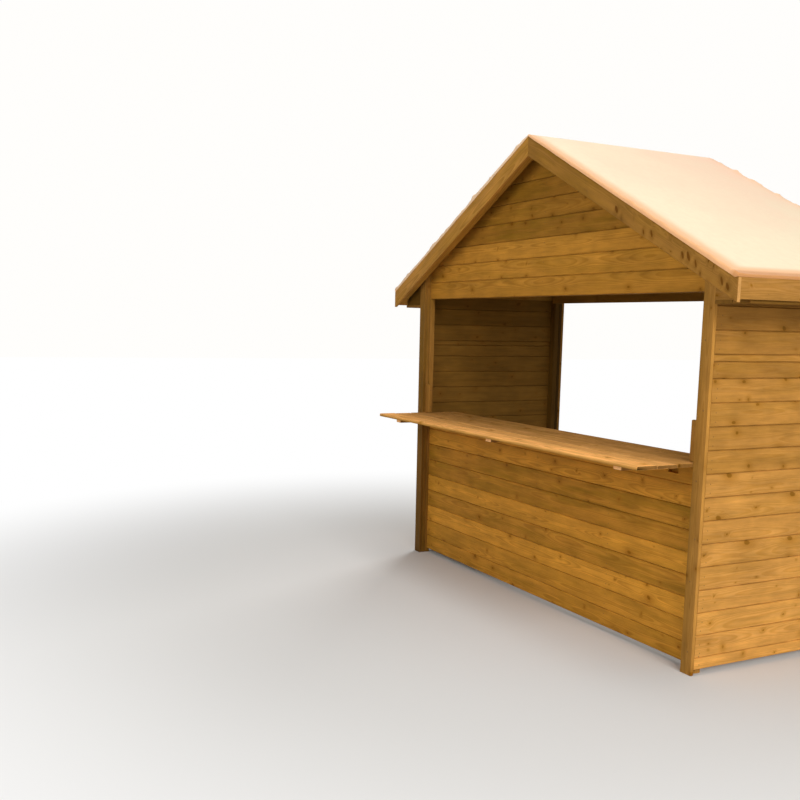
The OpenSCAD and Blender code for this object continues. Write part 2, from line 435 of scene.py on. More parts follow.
@dataclass
class Joinery:
    """Gathers timbers into one mesh, with the attributes that the wood shader reads."""

    draw: random.Random
    points: list[Vector] = field(default_factory=list)
    faces: list[list[int]] = field(default_factory=list)
    grain: list[Vector] = field(default_factory=list)
    values: list[tuple[float, ...]] = field(default_factory=list)
    end_faces: list[float] = field(default_factory=list)

    RING_STEP = 0.3
    LOOK = ("tone", "green", "knots")

    def shift(self) -> Vector:
        """Draws where in a tree's trunk the next board was cut."""
        side = self.draw.choice((-1, 1))
        return Vector((self.draw.uniform(-30, 30), self.draw.uniform(-0.03, 0.03),
                       side * self.draw.uniform(0.04, 0.12)))

    def add(self, timber: Timber, local: bool = False) -> None:
        """Adds one timber.

        Args:
            timber: the piece to add.
            local: keeps its grain unshifted, for a board that is repeated later.
        """
        shift = Vector() if local else self.shift()
        start, end = timber.ends
        count = len(timber.outline)
        middle = [sum(line) / count for line in zip(*timber.outline)]
        reach = [max(abs(v - m) for v in line) for line, m in zip(zip(*timber.outline), middle)]
        wide, thin = (0, 1) if reach[0] > reach[1] else (1, 0)
        length = end.at - start.at
        steps = max(1, math.ceil(length / self.RING_STEP))
        stations = [(i / steps, 0.0) for i in range(steps + 1)]
        if timber.chamfer:
            share, inset = timber.chamfer / length, timber.chamfer
            stations = [(0.0, inset), (share, 0.0), *stations[1:-1], (1 - share, 0.0), (1.0, inset)]
        grooves = timber.grooves or [0.0] * count
        # Painted shade on the inner face of a grooved board, for the shade inside the hut.
        shaded = timber.shaded or [
            1.0 if timber.grooves and a > middle[0] else 0.0 for a, _ in timber.outline]
        faces = tube(len(self.points), count, len(stations))
        for place, inset in stations:
            for spot, dirt, dark in zip(timber.outline, grooves, shaded):
                a, b = (v - math.copysign(min(inset, abs(v - m)), v - m)
                        for v, m in zip(spot, middle))
                near, far = start.place(a, b), end.place(a, b)
                x = near + (far - near) * place
                across = (a - middle[0], b - middle[1])
                self.points.append(timber.axes @ Vector((x, a, b)))
                self.grain.append(Vector((x, across[wide], across[thin])) + shift)
                look = timber.look.towards(timber.far or timber.look, place)
                self.values.append((*look, dirt, dark))
        self.faces += faces
        self.end_faces += [0.0] * (len(faces) - 2) + [1.0, 1.0]

    def build(self, name: str, material: bpy.types.Material) -> bpy.types.Object:
        """Makes the object.

        Args:
            name: its name.
            material: its finish.

        Returns:
            An object at the origin, in the scene.
        """
        mesh = new_mesh(name, self.points, self.faces, material)
        store(mesh, "grain", self.grain)
        for key, values in zip((*self.LOOK, "groove", "shaded"), zip(*self.values)):
            store(mesh, key, values)
        store(mesh, "end", self.end_faces, "FACE")
        return closed(mesh)


def settle(piece: bpy.types.Object, slot: str, *nodes: str) -> None:
    """Rides a piece on the hut, and has it stand for its nodes.

    Args:
        piece: the finished piece.
        slot: material slot of the record that its finish comes from. It is not used.
        nodes: nodes that it takes the place of.
    """
    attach(piece, ROOT)
    if nodes:
        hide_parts(*nodes)
    LOG.info("%s: %d faces", piece.name, len(piece.data.polygons))


def arithmetic(operation: str, swapped: bool = False) -> Callable[[Signal, object], Signal]:
    """Makes an operator for signals.

    Args:
        operation: what its Math node does.
        swapped: whether the signal comes second.

    Returns:
        The operator.
    """
    def work(signal: Signal, other: object) -> Signal:
        """Adds the Math node and returns its output."""
        return signal.wiring.math(operation, *((other, signal) if swapped else (signal, other)))
    return work


@dataclass(frozen=True)
class Signal:
    """Output of a node. Arithmetic on it adds Math nodes to its tree."""

    wiring: Wiring
    socket: bpy.types.NodeSocket

    __add__ = arithmetic("ADD")
    __sub__ = arithmetic("SUBTRACT")
    __rsub__ = arithmetic("SUBTRACT", swapped=True)
    __mul__ = arithmetic("MULTIPLY")
    __truediv__ = arithmetic("DIVIDE")
    __pow__ = arithmetic("POWER")


class Wiring:
    """Adds and links nodes in one tree, in as few words as it can."""

    def __init__(self, tree: bpy.types.NodeTree) -> None:
        """Takes the tree to build in."""
        self.tree = tree
        self.given: dict[str, Signal] = {}

    @classmethod
    def group(
        cls, name: str, kind: str, inputs: dict[str, object], outputs: Sequence[str]
    ) -> Wiring:
        """Starts a node group.

        Args:
            name: its name.
            kind: type of its tree.
            inputs: type of each input's socket, or its default number or colour.
            outputs: its outputs. One that isn't named after its type puts out a number.

        Returns:
            The group's wiring, which holds its inputs.
        """
        tree = bpy.data.node_groups.new(name, f"{kind}NodeTree")
        for key, value in inputs.items():
            named = isinstance(value, str)
            sort = value if named else "Color" if isinstance(value, tuple) else "Float"
            made = tree.interface.new_socket(key, in_out="INPUT", socket_type=f"NodeSocket{sort}")
            if not named:
                made.default_value = value
        for key in outputs:
            sort = key if key in ("Color", "Geometry") else "Float"
            tree.interface.new_socket(key, in_out="OUTPUT", socket_type=f"NodeSocket{sort}")
        w = cls(tree)
        w.given = w.outputs(w.node("NodeGroupInput"))
        return w

    def result(self, **values: object) -> bpy.types.NodeTree:
        """Links the group's outputs and returns its tree."""
        self.node("NodeGroupOutput", values)
        return self.tree

    def outputs(self, node: bpy.types.Node) -> dict[str, Signal]:
        """Lists a node's outputs by name."""
        return {socket.name: Signal(self, socket) for socket in node.outputs}

    def plug(self, node: bpy.types.Node, inputs: dict[str | int, object]) -> None:
        """Links or sets some of a node's inputs.

        Args:
            node: the node.
            inputs: what goes into each, by its name or number.
        """
        for key, value in inputs.items():
            value = value.socket if isinstance(value, Signal) else value
            if isinstance(value, bpy.types.NodeSocket):
                self.tree.links.new(value, node.inputs[key])
            else:
                node.inputs[key].default_value = value

    def node(
        self, kind: str, inputs: dict[str | int, object] | None = None, **settings: object
    ) -> bpy.types.Node:
        """Adds a node.

        Args:
            kind: its type's name.
            inputs: what goes into its inputs.
            settings: properties to set on it.

        Returns:
            The node.
        """
        made = self.tree.nodes.new(kind)
        for key, value in settings.items():
            setattr(made, key, value)
        self.plug(made, inputs or {})
        return made

    def read(
        self, kind: str, inputs: dict[str | int, object] | None = None,
        output: str | int = 0, **settings: object,
    ) -> Signal:
        """Adds a node and returns one of its outputs."""
        return Signal(self, self.node(kind, inputs, **settings).outputs[output])

    def math(self, operation: str, *values: object) -> Signal:
        """Adds a Math node with up to three values."""
        return self.read("ShaderNodeMath", dict(enumerate(values)), operation=operation)

    def highest(self, *values: object) -> Signal:
        """Takes the higher of two values."""
        return self.math("MAXIMUM", *values)

    def vector(self, operation: str, *values: object) -> Signal:
        """Adds a Vector Math node."""
        return self.read("ShaderNodeVectorMath", dict(enumerate(values)), operation=operation)

    def split(self, vector: object) -> tuple[Signal, ...]:
        """Separates a vector or colour into its three parts."""
        return tuple(self.outputs(self.node("ShaderNodeSeparateXYZ", {0: vector})).values())

    def join(self, *values: object) -> Signal:
        """Combines up to three values into a vector."""
        return self.read("ShaderNodeCombineXYZ", dict(enumerate(values)))

    def step(self, value: object, low: object, high: object) -> Signal:
        """Rises smoothly from 0 at low to 1 at high."""
        return self.read("ShaderNodeMapRange", {"Value": value, "From Min": low, "From Max": high},
                         interpolation_type="SMOOTHSTEP")

    def noise(
        self, place: object, scale: float | tuple[float, ...], detail: float = 2.0,
        rough: float = 0.5, output: str = "Fac",
    ) -> Signal:
        """Adds a Noise Texture node.

        Args:
            place: where it is looked up.
            scale: its scale, or one for each axis.
            detail: its detail.
            rough: its roughness.
            output: Fac or Color.

        Returns:
            That output.
        """
        if isinstance(scale, tuple):
            place, scale = self.vector("MULTIPLY", place, scale), 1.0
        return self.read("ShaderNodeTexNoise", {
            "Vector": place, "Scale": scale, "Detail": detail, "Roughness": rough}, output)

    def mix(self, factor: object, first: object, second: object, blend: str = "MIX") -> Signal:
        """Mixes two colours. A colour of three parts is opaque."""
        parts = [(*c, 1.0) if isinstance(c, tuple) else c for c in (first, second)]
        return self.read("ShaderNodeMix", {"Factor": factor, 6: parts[0], 7: parts[1]}, 2,
                         data_type="RGBA", blend_type=blend)

    def attribute(self, name: str, output: str = "Fac") -> Signal:
        """Reads an attribute of the mesh in a shader."""
        return self.read("ShaderNodeAttribute", output=output, attribute_name=name)

    def named(self, name: str) -> Signal:
        """Reads a vector attribute of the mesh in a geometry tree."""
        return self.read("GeometryNodeInputNamedAttribute", {"Name": name},
                         data_type="FLOAT_VECTOR")

    def place(self) -> Signal:
        """Reads the place in the object's own coordinates."""
        return self.read("ShaderNodeTexCoord", output="Object")

    def bump(self, height: object, strength: float, distance: float) -> Signal:
        """Turns a height into a normal."""
        return self.read("ShaderNodeBump", {
            "Height": height, "Strength": strength, "Distance": distance})


def new_material(name: str) -> tuple[bpy.types.Material, Wiring, bpy.types.Node]:
    """Starts a material.

    Args:
        name: its name.

    Returns:
        The material, its wiring and its shader.
    """
    made = bpy.data.materials.new(name)
    made.use_nodes = True
    return made, Wiring(made.node_tree), made.node_tree.nodes["Principled BSDF"]


class KnotGroup:
    """Shader group that scatters knots over boards and bends the grain round them."""

    ALONG = 0.27
    ACROSS = 0.092
    SMALLEST = 0.0038
    LARGEST = 0.0125
    LONG = 1.25
    RAGGED = 0.0035
    HALO = 3.0

    @classmethod
    @cache
    def tree(cls) -> bpy.types.NodeTree:
        """Builds the group once.

        Returns:
            A group that puts out Core, Halo, Swell and Rings.
        """
        w = Wiring.group(
            "spruce_knots", "Shader",
            {"Grain": "Vector", "Share": 0.3, "Size": 1.0, "Along": cls.ALONG,
             "Long": cls.LONG, "Slant": 0.0},
            ("Core", "Halo", "Swell", "Rings"))
        grain, share, scale, along, long, slant = list(w.given.values())[:6]
        x, y, _ = w.split(grain)
        cell = {"Vector": w.join(x / along, y / cls.ACROSS), "Scale": 1.0, "Randomness": 0.75}
        cells, rims = (w.outputs(w.node("ShaderNodeTexVoronoi", cell, voronoi_dimensions="2D",
                                        feature=kind)) for kind in ("F1", "DISTANCE_TO_EDGE"))
        centre_x, centre_y, _ = w.split(cells["Position"])
        luck, size, sound = w.split(cells["Color"])
        dy = y - centre_y * cls.ACROSS
        dx = ((size - 0.5) * 0.8 + slant) * dy + (x - centre_x * along)
        dx = dx / (long * (sound * 0.8 + 0.6))
        far = w.math("SQRT", dx ** 2.0 + dy ** 2.0)
        far = far + (w.noise(grain, 110.0, 2.0, 0.6) - 0.5) * cls.RAGGED
        here = w.math("LESS_THAN", luck, share)
        soft = here * w.step(rims["Distance"], 0.0, 0.3)
        radius = (size ** 1.6 * (cls.LARGEST - cls.SMALLEST) + cls.SMALLEST) * scale
        heart = here * (1.0 - w.step(far, radius * 0.7, radius * 1.1))
        ratio = far / (radius * cls.HALO)
        bell = w.math("EXPONENT", ratio * ratio * -1.0) * soft
        faint = share * -0.75 + 0.25
        return w.result(Core=heart * w.step(sound, faint, faint + 0.5), Halo=bell,
                        Swell=bell * radius, Rings=w.math("FRACT", far / radius * 2.5))


class GrainGroup:
    """Shader group for planed spruce: rings cut at any angle, fibres, patches and knots."""

    RING = 0.0032
    PALE_END = (0.60, 0.33, 0.14)
    FIBRE = (14.0, 620.0, 620.0)
    STREAK = (3.2, 48.0, 48.0)
    PATCH = (4.5, 16.0, 16.0)
    STAIN = (1.6, 13.0, 13.0)
    GRIME = (5.5, 3.0, 3.0)
    WANDER = (0.9, 1.5, 1.5)
    SWAY = (0.05, 0.05, 0.05)
    PINS = (1.9, 2.6, 2.6)
    PIN_SHARE = 0.12
    INPUTS = {
        "Grain": "Vector", "Early": (0.6, 0.4, 0.2, 1.0), "Late": (0.4, 0.2, 0.1, 1.0),
        "Knot": (0.1, 0.05, 0.02, 1.0), "Treated": (0.4, 0.3, 0.1, 1.0),
        "Tone": 0.0, "Green": 0.3, "Knots": 0.3, "Groove": 0.0, "End": 0.0, "Shaded": 0.0,
        "Size": 1.0, "Along": KnotGroup.ALONG, "Long": KnotGroup.LONG, "Slant": 0.0,
        "Contrast": 0.5, "Sawn": 0.1, "Polish": 0.55,
    }

    @classmethod
    @cache
    def tree(cls) -> bpy.types.NodeTree:
        """Builds the group once.

        Returns:
            A group that puts out Color, Roughness and Height.
        """
        w = Wiring.group("spruce_grain", "Shader", cls.INPUTS, ("Color", "Roughness", "Height"))
        put = w.given
        grain, late_colour, end, shaded = put["Grain"], put["Late"], put["End"], put["Shaded"]
        knots, pins = (
            w.outputs(w.node("ShaderNodeGroup", inputs, node_tree=KnotGroup.tree())) for inputs in (
                {"Share": put["Knots"], **{key: put[key] for key in (
                    "Grain", "Size", "Along", "Long", "Slant")}},
                {"Grain": w.vector("MULTIPLY", grain, cls.PINS),
                 "Share": put["Knots"] * cls.PIN_SHARE}))
        late = cls.late_wood(w, grain, knots["Swell"])
        fibre = w.noise(grain, cls.FIBRE, 3.0)
        streak = w.noise(grain, cls.STREAK, 3.0, 0.6)
        patch = w.noise(grain, cls.PATCH, 4.0, 0.6)
        stain = w.noise(grain, cls.STAIN, 3.0, 0.6)
        grime = w.noise(grain, cls.GRIME)
        tone, cut = put["Tone"] * (1.0 - end), end * put["Sawn"]

        colour = w.mix(late * put["Contrast"], put["Early"], late_colour)
        colour = w.mix(w.step(fibre, 0.45, 0.8) * 0.4, colour, late_colour)
        colour = w.mix(w.highest(tone * -0.6, w.highest(cut, 0.0)), colour, late_colour)
        colour = w.mix(w.highest(cut * -1.3, 0.0), colour, cls.PALE_END)
        green = w.step(stain, 0.36, 0.64) * put["Green"]
        # Painted shade also tints the wood towards the treatment's green.
        colour = w.mix(w.highest(green, w.highest(shaded, 0.0) * 0.55), colour, put["Treated"])
        halo = w.highest(knots["Halo"], pins["Halo"]) * 0.8
        colour = w.mix(halo, colour, w.mix(0.35, late_colour, put["Knot"]))
        core = w.highest(knots["Core"] * (knots["Rings"] * 0.16 + 0.8), pins["Core"])
        colour = w.mix(core, colour, put["Knot"])

        shade = (patch - 0.5) * 0.75 + (streak - 0.5) * 0.55 + 1.0
        # Painted shade darkens the wood, and painted light below 0 lightens it.
        shade = shade * (tone * 0.4 + 1.0) * (1.0 - (cut + shaded * 0.4))
        shade = shade * (w.step(grime, 0.3, 0.65) * put["Groove"] * -0.3 + 1.0)
        return w.result(
            Color=w.mix(1.0, colour, w.join(shade, shade, shade), "MULTIPLY"),
            Roughness=(fibre - 0.5) * 0.25 + put["Polish"] + end * 0.2,
            Height=knots["Core"] * 0.8 + late * 0.5 + fibre * 0.5)

    @classmethod
    def late_wood(cls, w: Wiring, grain: Signal, swell: Signal) -> Signal:
        """Marks the dark, late part of each ring round a pith that wanders.

        Args:
            w: wiring of the group.
            grain: place in the trunk, with the pith along the first axis.
            swell: how far a knot pushes the rings outwards.

        Returns:
            A signal from 0 in early wood to 1 in late wood.
        """
        wander = w.noise(grain, cls.WANDER, output="Color")
        away = w.vector("SUBTRACT", wander, (0.5, 0.5, 0.5))
        _, y, z = w.split(w.vector("MULTIPLY_ADD", away, cls.SWAY, grain))
        ring = w.math("SQRT", y ** 2.0 + z ** 2.0)
        part = w.math("FRACT", (swell * 1.2 + ring) / cls.RING)
        return w.step(part, 0.25, 0.85) * (1.0 - w.step(part, 0.9, 1.0))


@dataclass(frozen=True)
class WoodFinish:
    """Planed or sawn spruce in one set of colours, given as linear RGB.

    Attributes:
        name: name of the material.
        slot: material slot of the record.
        early: colour of the light part of each ring.
        late: colour of the dark part of each ring.
        knot: colour of a knot's heart.
        treated: greenish colour of the treatment.
        size: size of the knots against those of a wall board.
        along: distance between two places for a knot, along the grain.
        long: how much longer than wide a knot is, along the grain.
        slant: how far it leans out of square to the grain.
        contrast: how strongly the rings show.
        polish: roughness of the planed face.
        gloss: strength of its reflection.
        sawn: how much darker its end grain is, or paler below 0.
    """

    name: str
    slot: str
    early: Colour
    late: Colour
    knot: Colour = (0.23, 0.085, 0.003)
    treated: Colour = (0.29, 0.145, 0.010)
    size: float = 1.0
    along: float = KnotGroup.ALONG
    long: float = KnotGroup.LONG
    slant: float = 0.0
    contrast: float = 0.6
    polish: float = 0.58
    gloss: float = 0.05
    sawn: float = 0.1

    COLOURS = ("Early", "Late", "Knot", "Treated")
    VALUES = ("Size", "Along", "Long", "Slant", "Contrast", "Polish", "Sawn")
    READ = ("Tone", "Green", "Knots", "Groove", "End", "Shaded")
    PLAIN_SHIFT = (4.0, 0.013, 0.047)

    @cache
    def material(self, run: Run | None = None, look: Look = Look()) -> bpy.types.Material:
        """Builds the material once.

        Args:
            run: direction of the grain on a plain node. None reads the attributes of a
                dressed piece.
            look: how a plain node's wood differs.

        Returns:
            The material.
        """
        made, w, shader = new_material(self.name if run is None else f"{self.name}_{run.word}")
        if run is None:
            given = {key: w.attribute(key.lower()) for key in self.READ}
            given["Grain"] = w.attribute("grain", "Vector")
        else:
            given = dict(zip(self.READ, look))
            given["Grain"] = w.read("ShaderNodeMapping", {
                "Vector": w.place(), "Rotation": run.value, "Location": self.PLAIN_SHIFT})
        given.update({key: (*getattr(self, key.lower()), 1.0) for key in self.COLOURS})
        given.update({key: getattr(self, key.lower()) for key in self.VALUES})
        wood = w.outputs(w.node("ShaderNodeGroup", given, node_tree=GrainGroup.tree()))
        w.plug(shader, {
            "Base Color": wood["Color"], "Roughness": wood["Roughness"],
            "Normal": w.bump(wood["Height"], 0.35, 0.001), "Specular IOR Level": self.gloss})
        return made


FRONT_BOARDS = WoodFinish("front_boards_finish", "front_wall_boards",
                          (0.61, 0.275, 0.034), (0.39, 0.156, 0.016))
SIDE_BOARDS = WoodFinish("side_boards_finish", "side_wall_boards",
                         (0.72, 0.35, 0.084), (0.53, 0.23, 0.032), contrast=0.45,
                         knot=(0.29, 0.118, 0.009), size=1.15)
GABLE_BOARDS = WoodFinish("gable_boards_finish", "gable_boards",
                          (0.56, 0.255, 0.036), (0.365, 0.152, 0.015))
CORNER_TIMBER = WoodFinish("corner_timber_finish", "corner_timber",
                           (0.50, 0.24, 0.052), (0.33, 0.15, 0.024))
COUNTER_WOOD = WoodFinish("counter_planks_finish", "counter_wood",
                          (0.66, 0.33, 0.106), (0.42, 0.19, 0.034), gloss=0.0, sawn=0.5)
COUNTER_ARMS = WoodFinish("counter_arms_finish", "counter_wood",
                          (0.66, 0.36, 0.12), (0.42, 0.20, 0.04), sawn=-0.65)
BARGE_WOOD = WoodFinish("bargeboard_finish", "bargeboard_wood",
                        (0.47, 0.225, 0.048), (0.31, 0.14, 0.022), (0.15, 0.05, 0.002),
                        size=1.7, along=0.06, long=0.7, slant=0.58, contrast=0.75, sawn=-0.25)
EAVE_WOOD = WoodFinish("eave_boards_finish", "eave_boards",
                       (0.42, 0.20, 0.048), (0.29, 0.13, 0.018), contrast=0.5, sawn=0.4)
ROOF_WOOD = WoodFinish("roof_boards_finish", "roof_boards",
                       (0.44, 0.21, 0.030), (0.29, 0.125, 0.015))
# Frame timber is coloured darker, partly as painted shade for the hut's shadowed inside and the
# lintels' undersides.
FRAME_WOOD = WoodFinish("frame_timber_finish", "frame_timber",
                        (0.33, 0.165, 0.028), (0.22, 0.10, 0.014), polish=0.75)


@dataclass(frozen=True)
class MetalFinish:
    """Zinc-plated steel of the nails and screws."""

    name: str = "zinc_plated_steel"
    bright: Colour = (0.24, 0.13, 0.04)
    dull: Colour = (0.14, 0.08, 0.03)

    def material(self) -> bpy.types.Material:
        """Builds the material and returns it."""
        made, w, shader = new_material(self.name)
        worn = w.noise(w.place(), 900.0)
        w.plug(shader, {
            "Base Color": w.mix(worn, self.bright, self.dull), "Roughness": worn * 0.25 + 0.5,
            "Metallic": 0.3, "Specular IOR Level": 0.1})
        return made


@dataclass(frozen=True)
class FleeceFinish:
    """White fleece with short fibres and soft clumps."""

    name: str = "snow_fleece_finish"
    slot: str = "snow_fleece"
    white: Colour = (0.83, 0.71, 0.475)
    shade: Colour = (0.80, 0.65, 0.425)
    # A random warm tint, and painted warm light towards the ridge and the rear.
    blush: Colour = (0.91, 0.545, 0.365)
    # Fleece worn thin over the wood along its rim, partly painted shade where the rim curves down.
    worn: Colour = (0.83, 0.455, 0.215)
    thin: Colour = (0.58, 0.255, 0.075)

    def material(self) -> bpy.types.Material:
        """Builds the material and returns it."""
        made, w, shader = new_material(self.name)
        place, thin = w.place(), w.attribute("thin")
        curl = w.vector("MULTIPLY", w.noise(place, 40.0, output="Color"), (0.02, 0.02, 0.02))
        fibre = w.noise(w.vector("ADD", place, curl), 420.0, 4.0, 0.65)
        clump = w.noise(place, 26.0, 3.0, 0.6)
        # Random clouds of tint, plus the painted warm light stored on the mesh.
        cloud = (w.noise(place, 2.2) - 0.5) * 0.8 + w.attribute("blush")
        colour = w.mix(w.step(clump, 0.3, 0.75) * 0.5, self.white, self.shade)
        colour = w.mix(w.highest(cloud, 0.0), colour, self.blush)
        # The rim band: worn thin, and partly painted shade.
        colour = w.mix(w.step(thin, 0.0, 0.6), colour, self.worn)
        colour = w.mix(w.step(thin, 0.6, 1.0), colour, self.thin)
        w.plug(shader, {
            "Base Color": colour, "Normal": w.bump(clump * 0.6 + fibre * 0.4, 0.5, 0.004),
            "Roughness": 0.95, "Specular IOR Level": 0.15, "Sheen Weight": 0.25,
            "Sheen Roughness": 0.6})
        return made


class Repeats:
    """Geometry Nodes trees that set one thing on many points."""

    @staticmethod
    def laid(w: Wiring, thing: Signal, turn: Signal) -> Signal:
        """Sets a thing on every point, turned, and makes the copies real."""
        source = w.outputs(w.node("GeometryNodeObjectInfo", {"Object": thing}))
        lay = w.read("GeometryNodeInstanceOnPoints", {
            "Points": w.given["Geometry"], "Instance": source["Geometry"], "Rotation": turn})
        return w.read("GeometryNodeRealizeInstances", {0: lay})

    @staticmethod
    def dressed(w: Wiring, shape: Signal) -> bpy.types.NodeTree:
        """Ends a tree with its finish, and returns it."""
        return w.result(Geometry=w.read("GeometryNodeSetMaterial", {
            "Geometry": shape, "Material": w.given["Finish"]}))

    @classmethod
    @cache
    def heads(cls) -> bpy.types.NodeTree:
        """Builds the tree that sets the heads of fixings.

        Returns:
            A tree that turns Head to each point's direction.
        """
        w = Wiring.group("set_heads", "Geometry", {
            "Geometry": "Geometry", "Head": "Object", "Finish": "Material", "Seed": "Int"},
            ("Geometry",))
        aim = w.read("FunctionNodeAlignRotationToVector", {"Vector": w.named("facing")}, axis="Z")
        twist = w.node("FunctionNodeRandomValue", {"Seed": w.given["Seed"]}, data_type="FLOAT")
        for socket in twist.inputs:
            if socket.name == "Max" and socket.type == "VALUE":
                socket.default_value = math.tau
        angle = w.read("FunctionNodeEulerToRotation", {0: w.join(0.0, 0.0, twist.outputs[1])})
        spin = w.read("FunctionNodeRotateRotation", {0: aim, 1: angle}, rotation_space="LOCAL")
        return cls.dressed(w, cls.laid(w, w.given["Head"], spin))

    @classmethod
    @cache
    def boards(cls) -> bpy.types.NodeTree:
        """Builds the tree that lays boards.

        Returns:
            A tree that puts Board on each point, turned and shifted by its attributes.
        """
        w = Wiring.group("lay_boards", "Geometry", {
            "Geometry": "Geometry", "Board": "Object", "Finish": "Material", "Bow": 0.0},
            ("Geometry",))
        turn = w.read("FunctionNodeEulerToRotation", {0: w.named("turn")})
        grained = w.read("GeometryNodeStoreNamedAttribute", {
            "Geometry": cls.laid(w, w.given["Board"], turn), "Name": "grain",
            "Value": w.vector("ADD", w.named("grain"), w.named("shift"))},
            data_type="FLOAT_VECTOR")
        along = w.split(w.named("grain"))[0]
        wave = w.noise(w.join(along * 1.3), 1.0, 1.0, output="Color")
        wave = w.vector("MULTIPLY", w.vector("SUBTRACT", wave, (0.5, 0.5, 0.5)),
                        w.join(*[w.given["Bow"]] * 3))
        return cls.dressed(w, w.read("GeometryNodeSetPosition", {
            "Geometry": grained, "Offset": wave}))


def modified(
    name: str, points: bpy.types.Mesh, tree: bpy.types.NodeTree, values: dict[str, object]
) -> bpy.types.Object:
    """Runs a geometry tree on points and keeps the result as a plain mesh.

    Args:
        name: name of the result.
        points: mesh that the tree starts from.
        tree: the tree.
        values: value of each named input.

    Returns:
        A new object in the scene.
    """
    source = put_in_scene(bpy.data.objects.new(points.name, points))
    modifier = source.modifiers.new("nodes", "NODES")
    modifier.node_group = tree
    for item in tree.interface.items_tree:
        if item.in_out == "INPUT" and item.name in values:
            modifier[item.identifier] = values[item.name]
    ready = source.evaluated_get(bpy.context.evaluated_depsgraph_get())
    mesh = bpy.data.meshes.new_from_object(ready)
    mesh.name = name
    bpy.data.objects.remove(source)
    return put_in_scene(bpy.data.objects.new(name, mesh))


@dataclass
class Fixings:
    """Heads of nails or screws, set into the wood by Geometry Nodes.

    Attributes:
        name: name of the piece.
        radius: radius of a head.
        proud: how far a head stands out.
        recess: share of the radius that the driver's hole takes, or 0 for a nail.
        places: where the heads go.
        facing: outward direction of each.
    """

    name: str
    radius: float
    proud: float
    recess: float
    places: list[Vector] = field(default_factory=list)
    facing: list[Vector] = field(default_factory=list)

    SIDES = 10
    SUNK = 0.001

    def add(self, place: Sequence[float], out: Sequence[float]) -> None:
        """Adds one head at a place, facing out."""
        self.places.append(Vector(place))
        self.facing.append(Vector(out).normalized())

    def head(self) -> bpy.types.Object:
        """Turns one head from its profile.

        Returns:
            The head, which faces +Z.
        """
        r, top = self.radius, self.proud
        hole = max(self.recess, 0.4) * r
        profile = [(r, -self.SUNK), (r, 0.3 * top), (0.8 * r, top), (hole, top),
                   (0.8 * hole, -0.6 * top if self.recess else top)]
        angles = [math.tau * i / self.SIDES for i in range(self.SIDES)]
        points = [(x * math.cos(t), x * math.sin(t), z) for x, z in profile for t in angles]
        return closed(new_mesh(f"{self.name}_head", points, tube(0, self.SIDES, len(profile))))

    def build(self, material: bpy.types.Material) -> None:
        """Sets every head.

        Args:
            material: the heads' finish.
        """
        points = new_mesh(f"{self.name}_places", self.places)
        store(points, "facing", self.facing)
        head = self.head()
        piece = modified(self.name, points, Repeats.heads(), {
            "Head": head, "Finish": material, "Seed": SEED})
        bpy.data.objects.remove(head)
        settle(piece, FRAME_WOOD.slot)


@dataclass
class BoardStack:
    """Like boards, one beside the next.

    Attributes:
        board: the board to repeat, with its foot's outer edge at the origin of its axes.
        origins: where each board's foot goes.
        turn: angles that every board is turned by.
        looks: how each board differs.
        bow: how far a board strays from straight.
    """

    board: Timber
    origins: Sequence[Vector]
    turn: Euler
    looks: Sequence[Look]
    bow: float = 0.0022

    def build(self, name: str, finish: WoodFinish, draw: random.Random) -> bpy.types.Object:
        """Lays the boards.

        Args:
            name: name of the piece.
            finish: its wood.
            draw: source of each board's place in the trunk.

        Returns:
            One mesh with all the boards.
        """
        single = Joinery(draw)
        single.add(self.board, local=True)
        pattern = single.build(f"{name}_pattern", finish.material())
        points = new_mesh(f"{name}_feet", self.origins)
        store(points, "turn", [self.turn] * len(self.origins))
        store(points, "shift", [single.shift() for _ in self.origins])
        for key, values in zip(Joinery.LOOK, zip(*self.looks)):
            pattern.data.attributes.remove(pattern.data.attributes[key])
            store(points, key, values)
        made = modified(name, points, Repeats.boards(), {
            "Board": pattern, "Finish": finish.material(), "Bow": self.bow})
        bpy.data.objects.remove(pattern)
        return made


def joined(name: str, *parts: bpy.types.Object) -> bpy.types.Object:
    """Joins parts into one object, and takes the first one's material.

    Args:
        name: name of the result.
        parts: the parts, which are used up.

    Returns:
        The joined object.
    """
    first = parts[0]
    with bpy.context.temp_override(
        active_object=first, object=first, selected_objects=list(parts),
        selected_editable_objects=list(parts),
    ):
        bpy.ops.object.join()
    first.name = first.data.name = name
    return first


@dataclass
class Carpentry:
    """What every sub-assembly of the hut is made with."""

    hut: Survey
    draw: random.Random
    nails: Fixings
    screws: Fixings

    def make(
        self, name: str, finish: WoodFinish, node: str, timbers: Iterable[Timber],
        stack: BoardStack | None = None,
    ) -> None:
        """Makes one piece, which stands for one node.

        Args:
            name: its name.
            finish: its wood.
            node: the node.
            timbers: its timbers. Each is added before the next one is drawn.
            stack: like boards that are laid before them.
        """
        laid = stack.build(name, finish, self.draw) if stack else None
        work = Joinery(self.draw)
        for timber in timbers:
            work.add(timber)
        piece = work.build(f"{name}_ripped" if laid else name, finish.material())
        settle(joined(name, laid, piece) if laid else piece, finish.slot, node)

    @property
    def profile(self) -> BoardProfile:
        """Profile of the wall and gable boards."""
        return BoardProfile(self.hut.board_t, self.hut.cover)


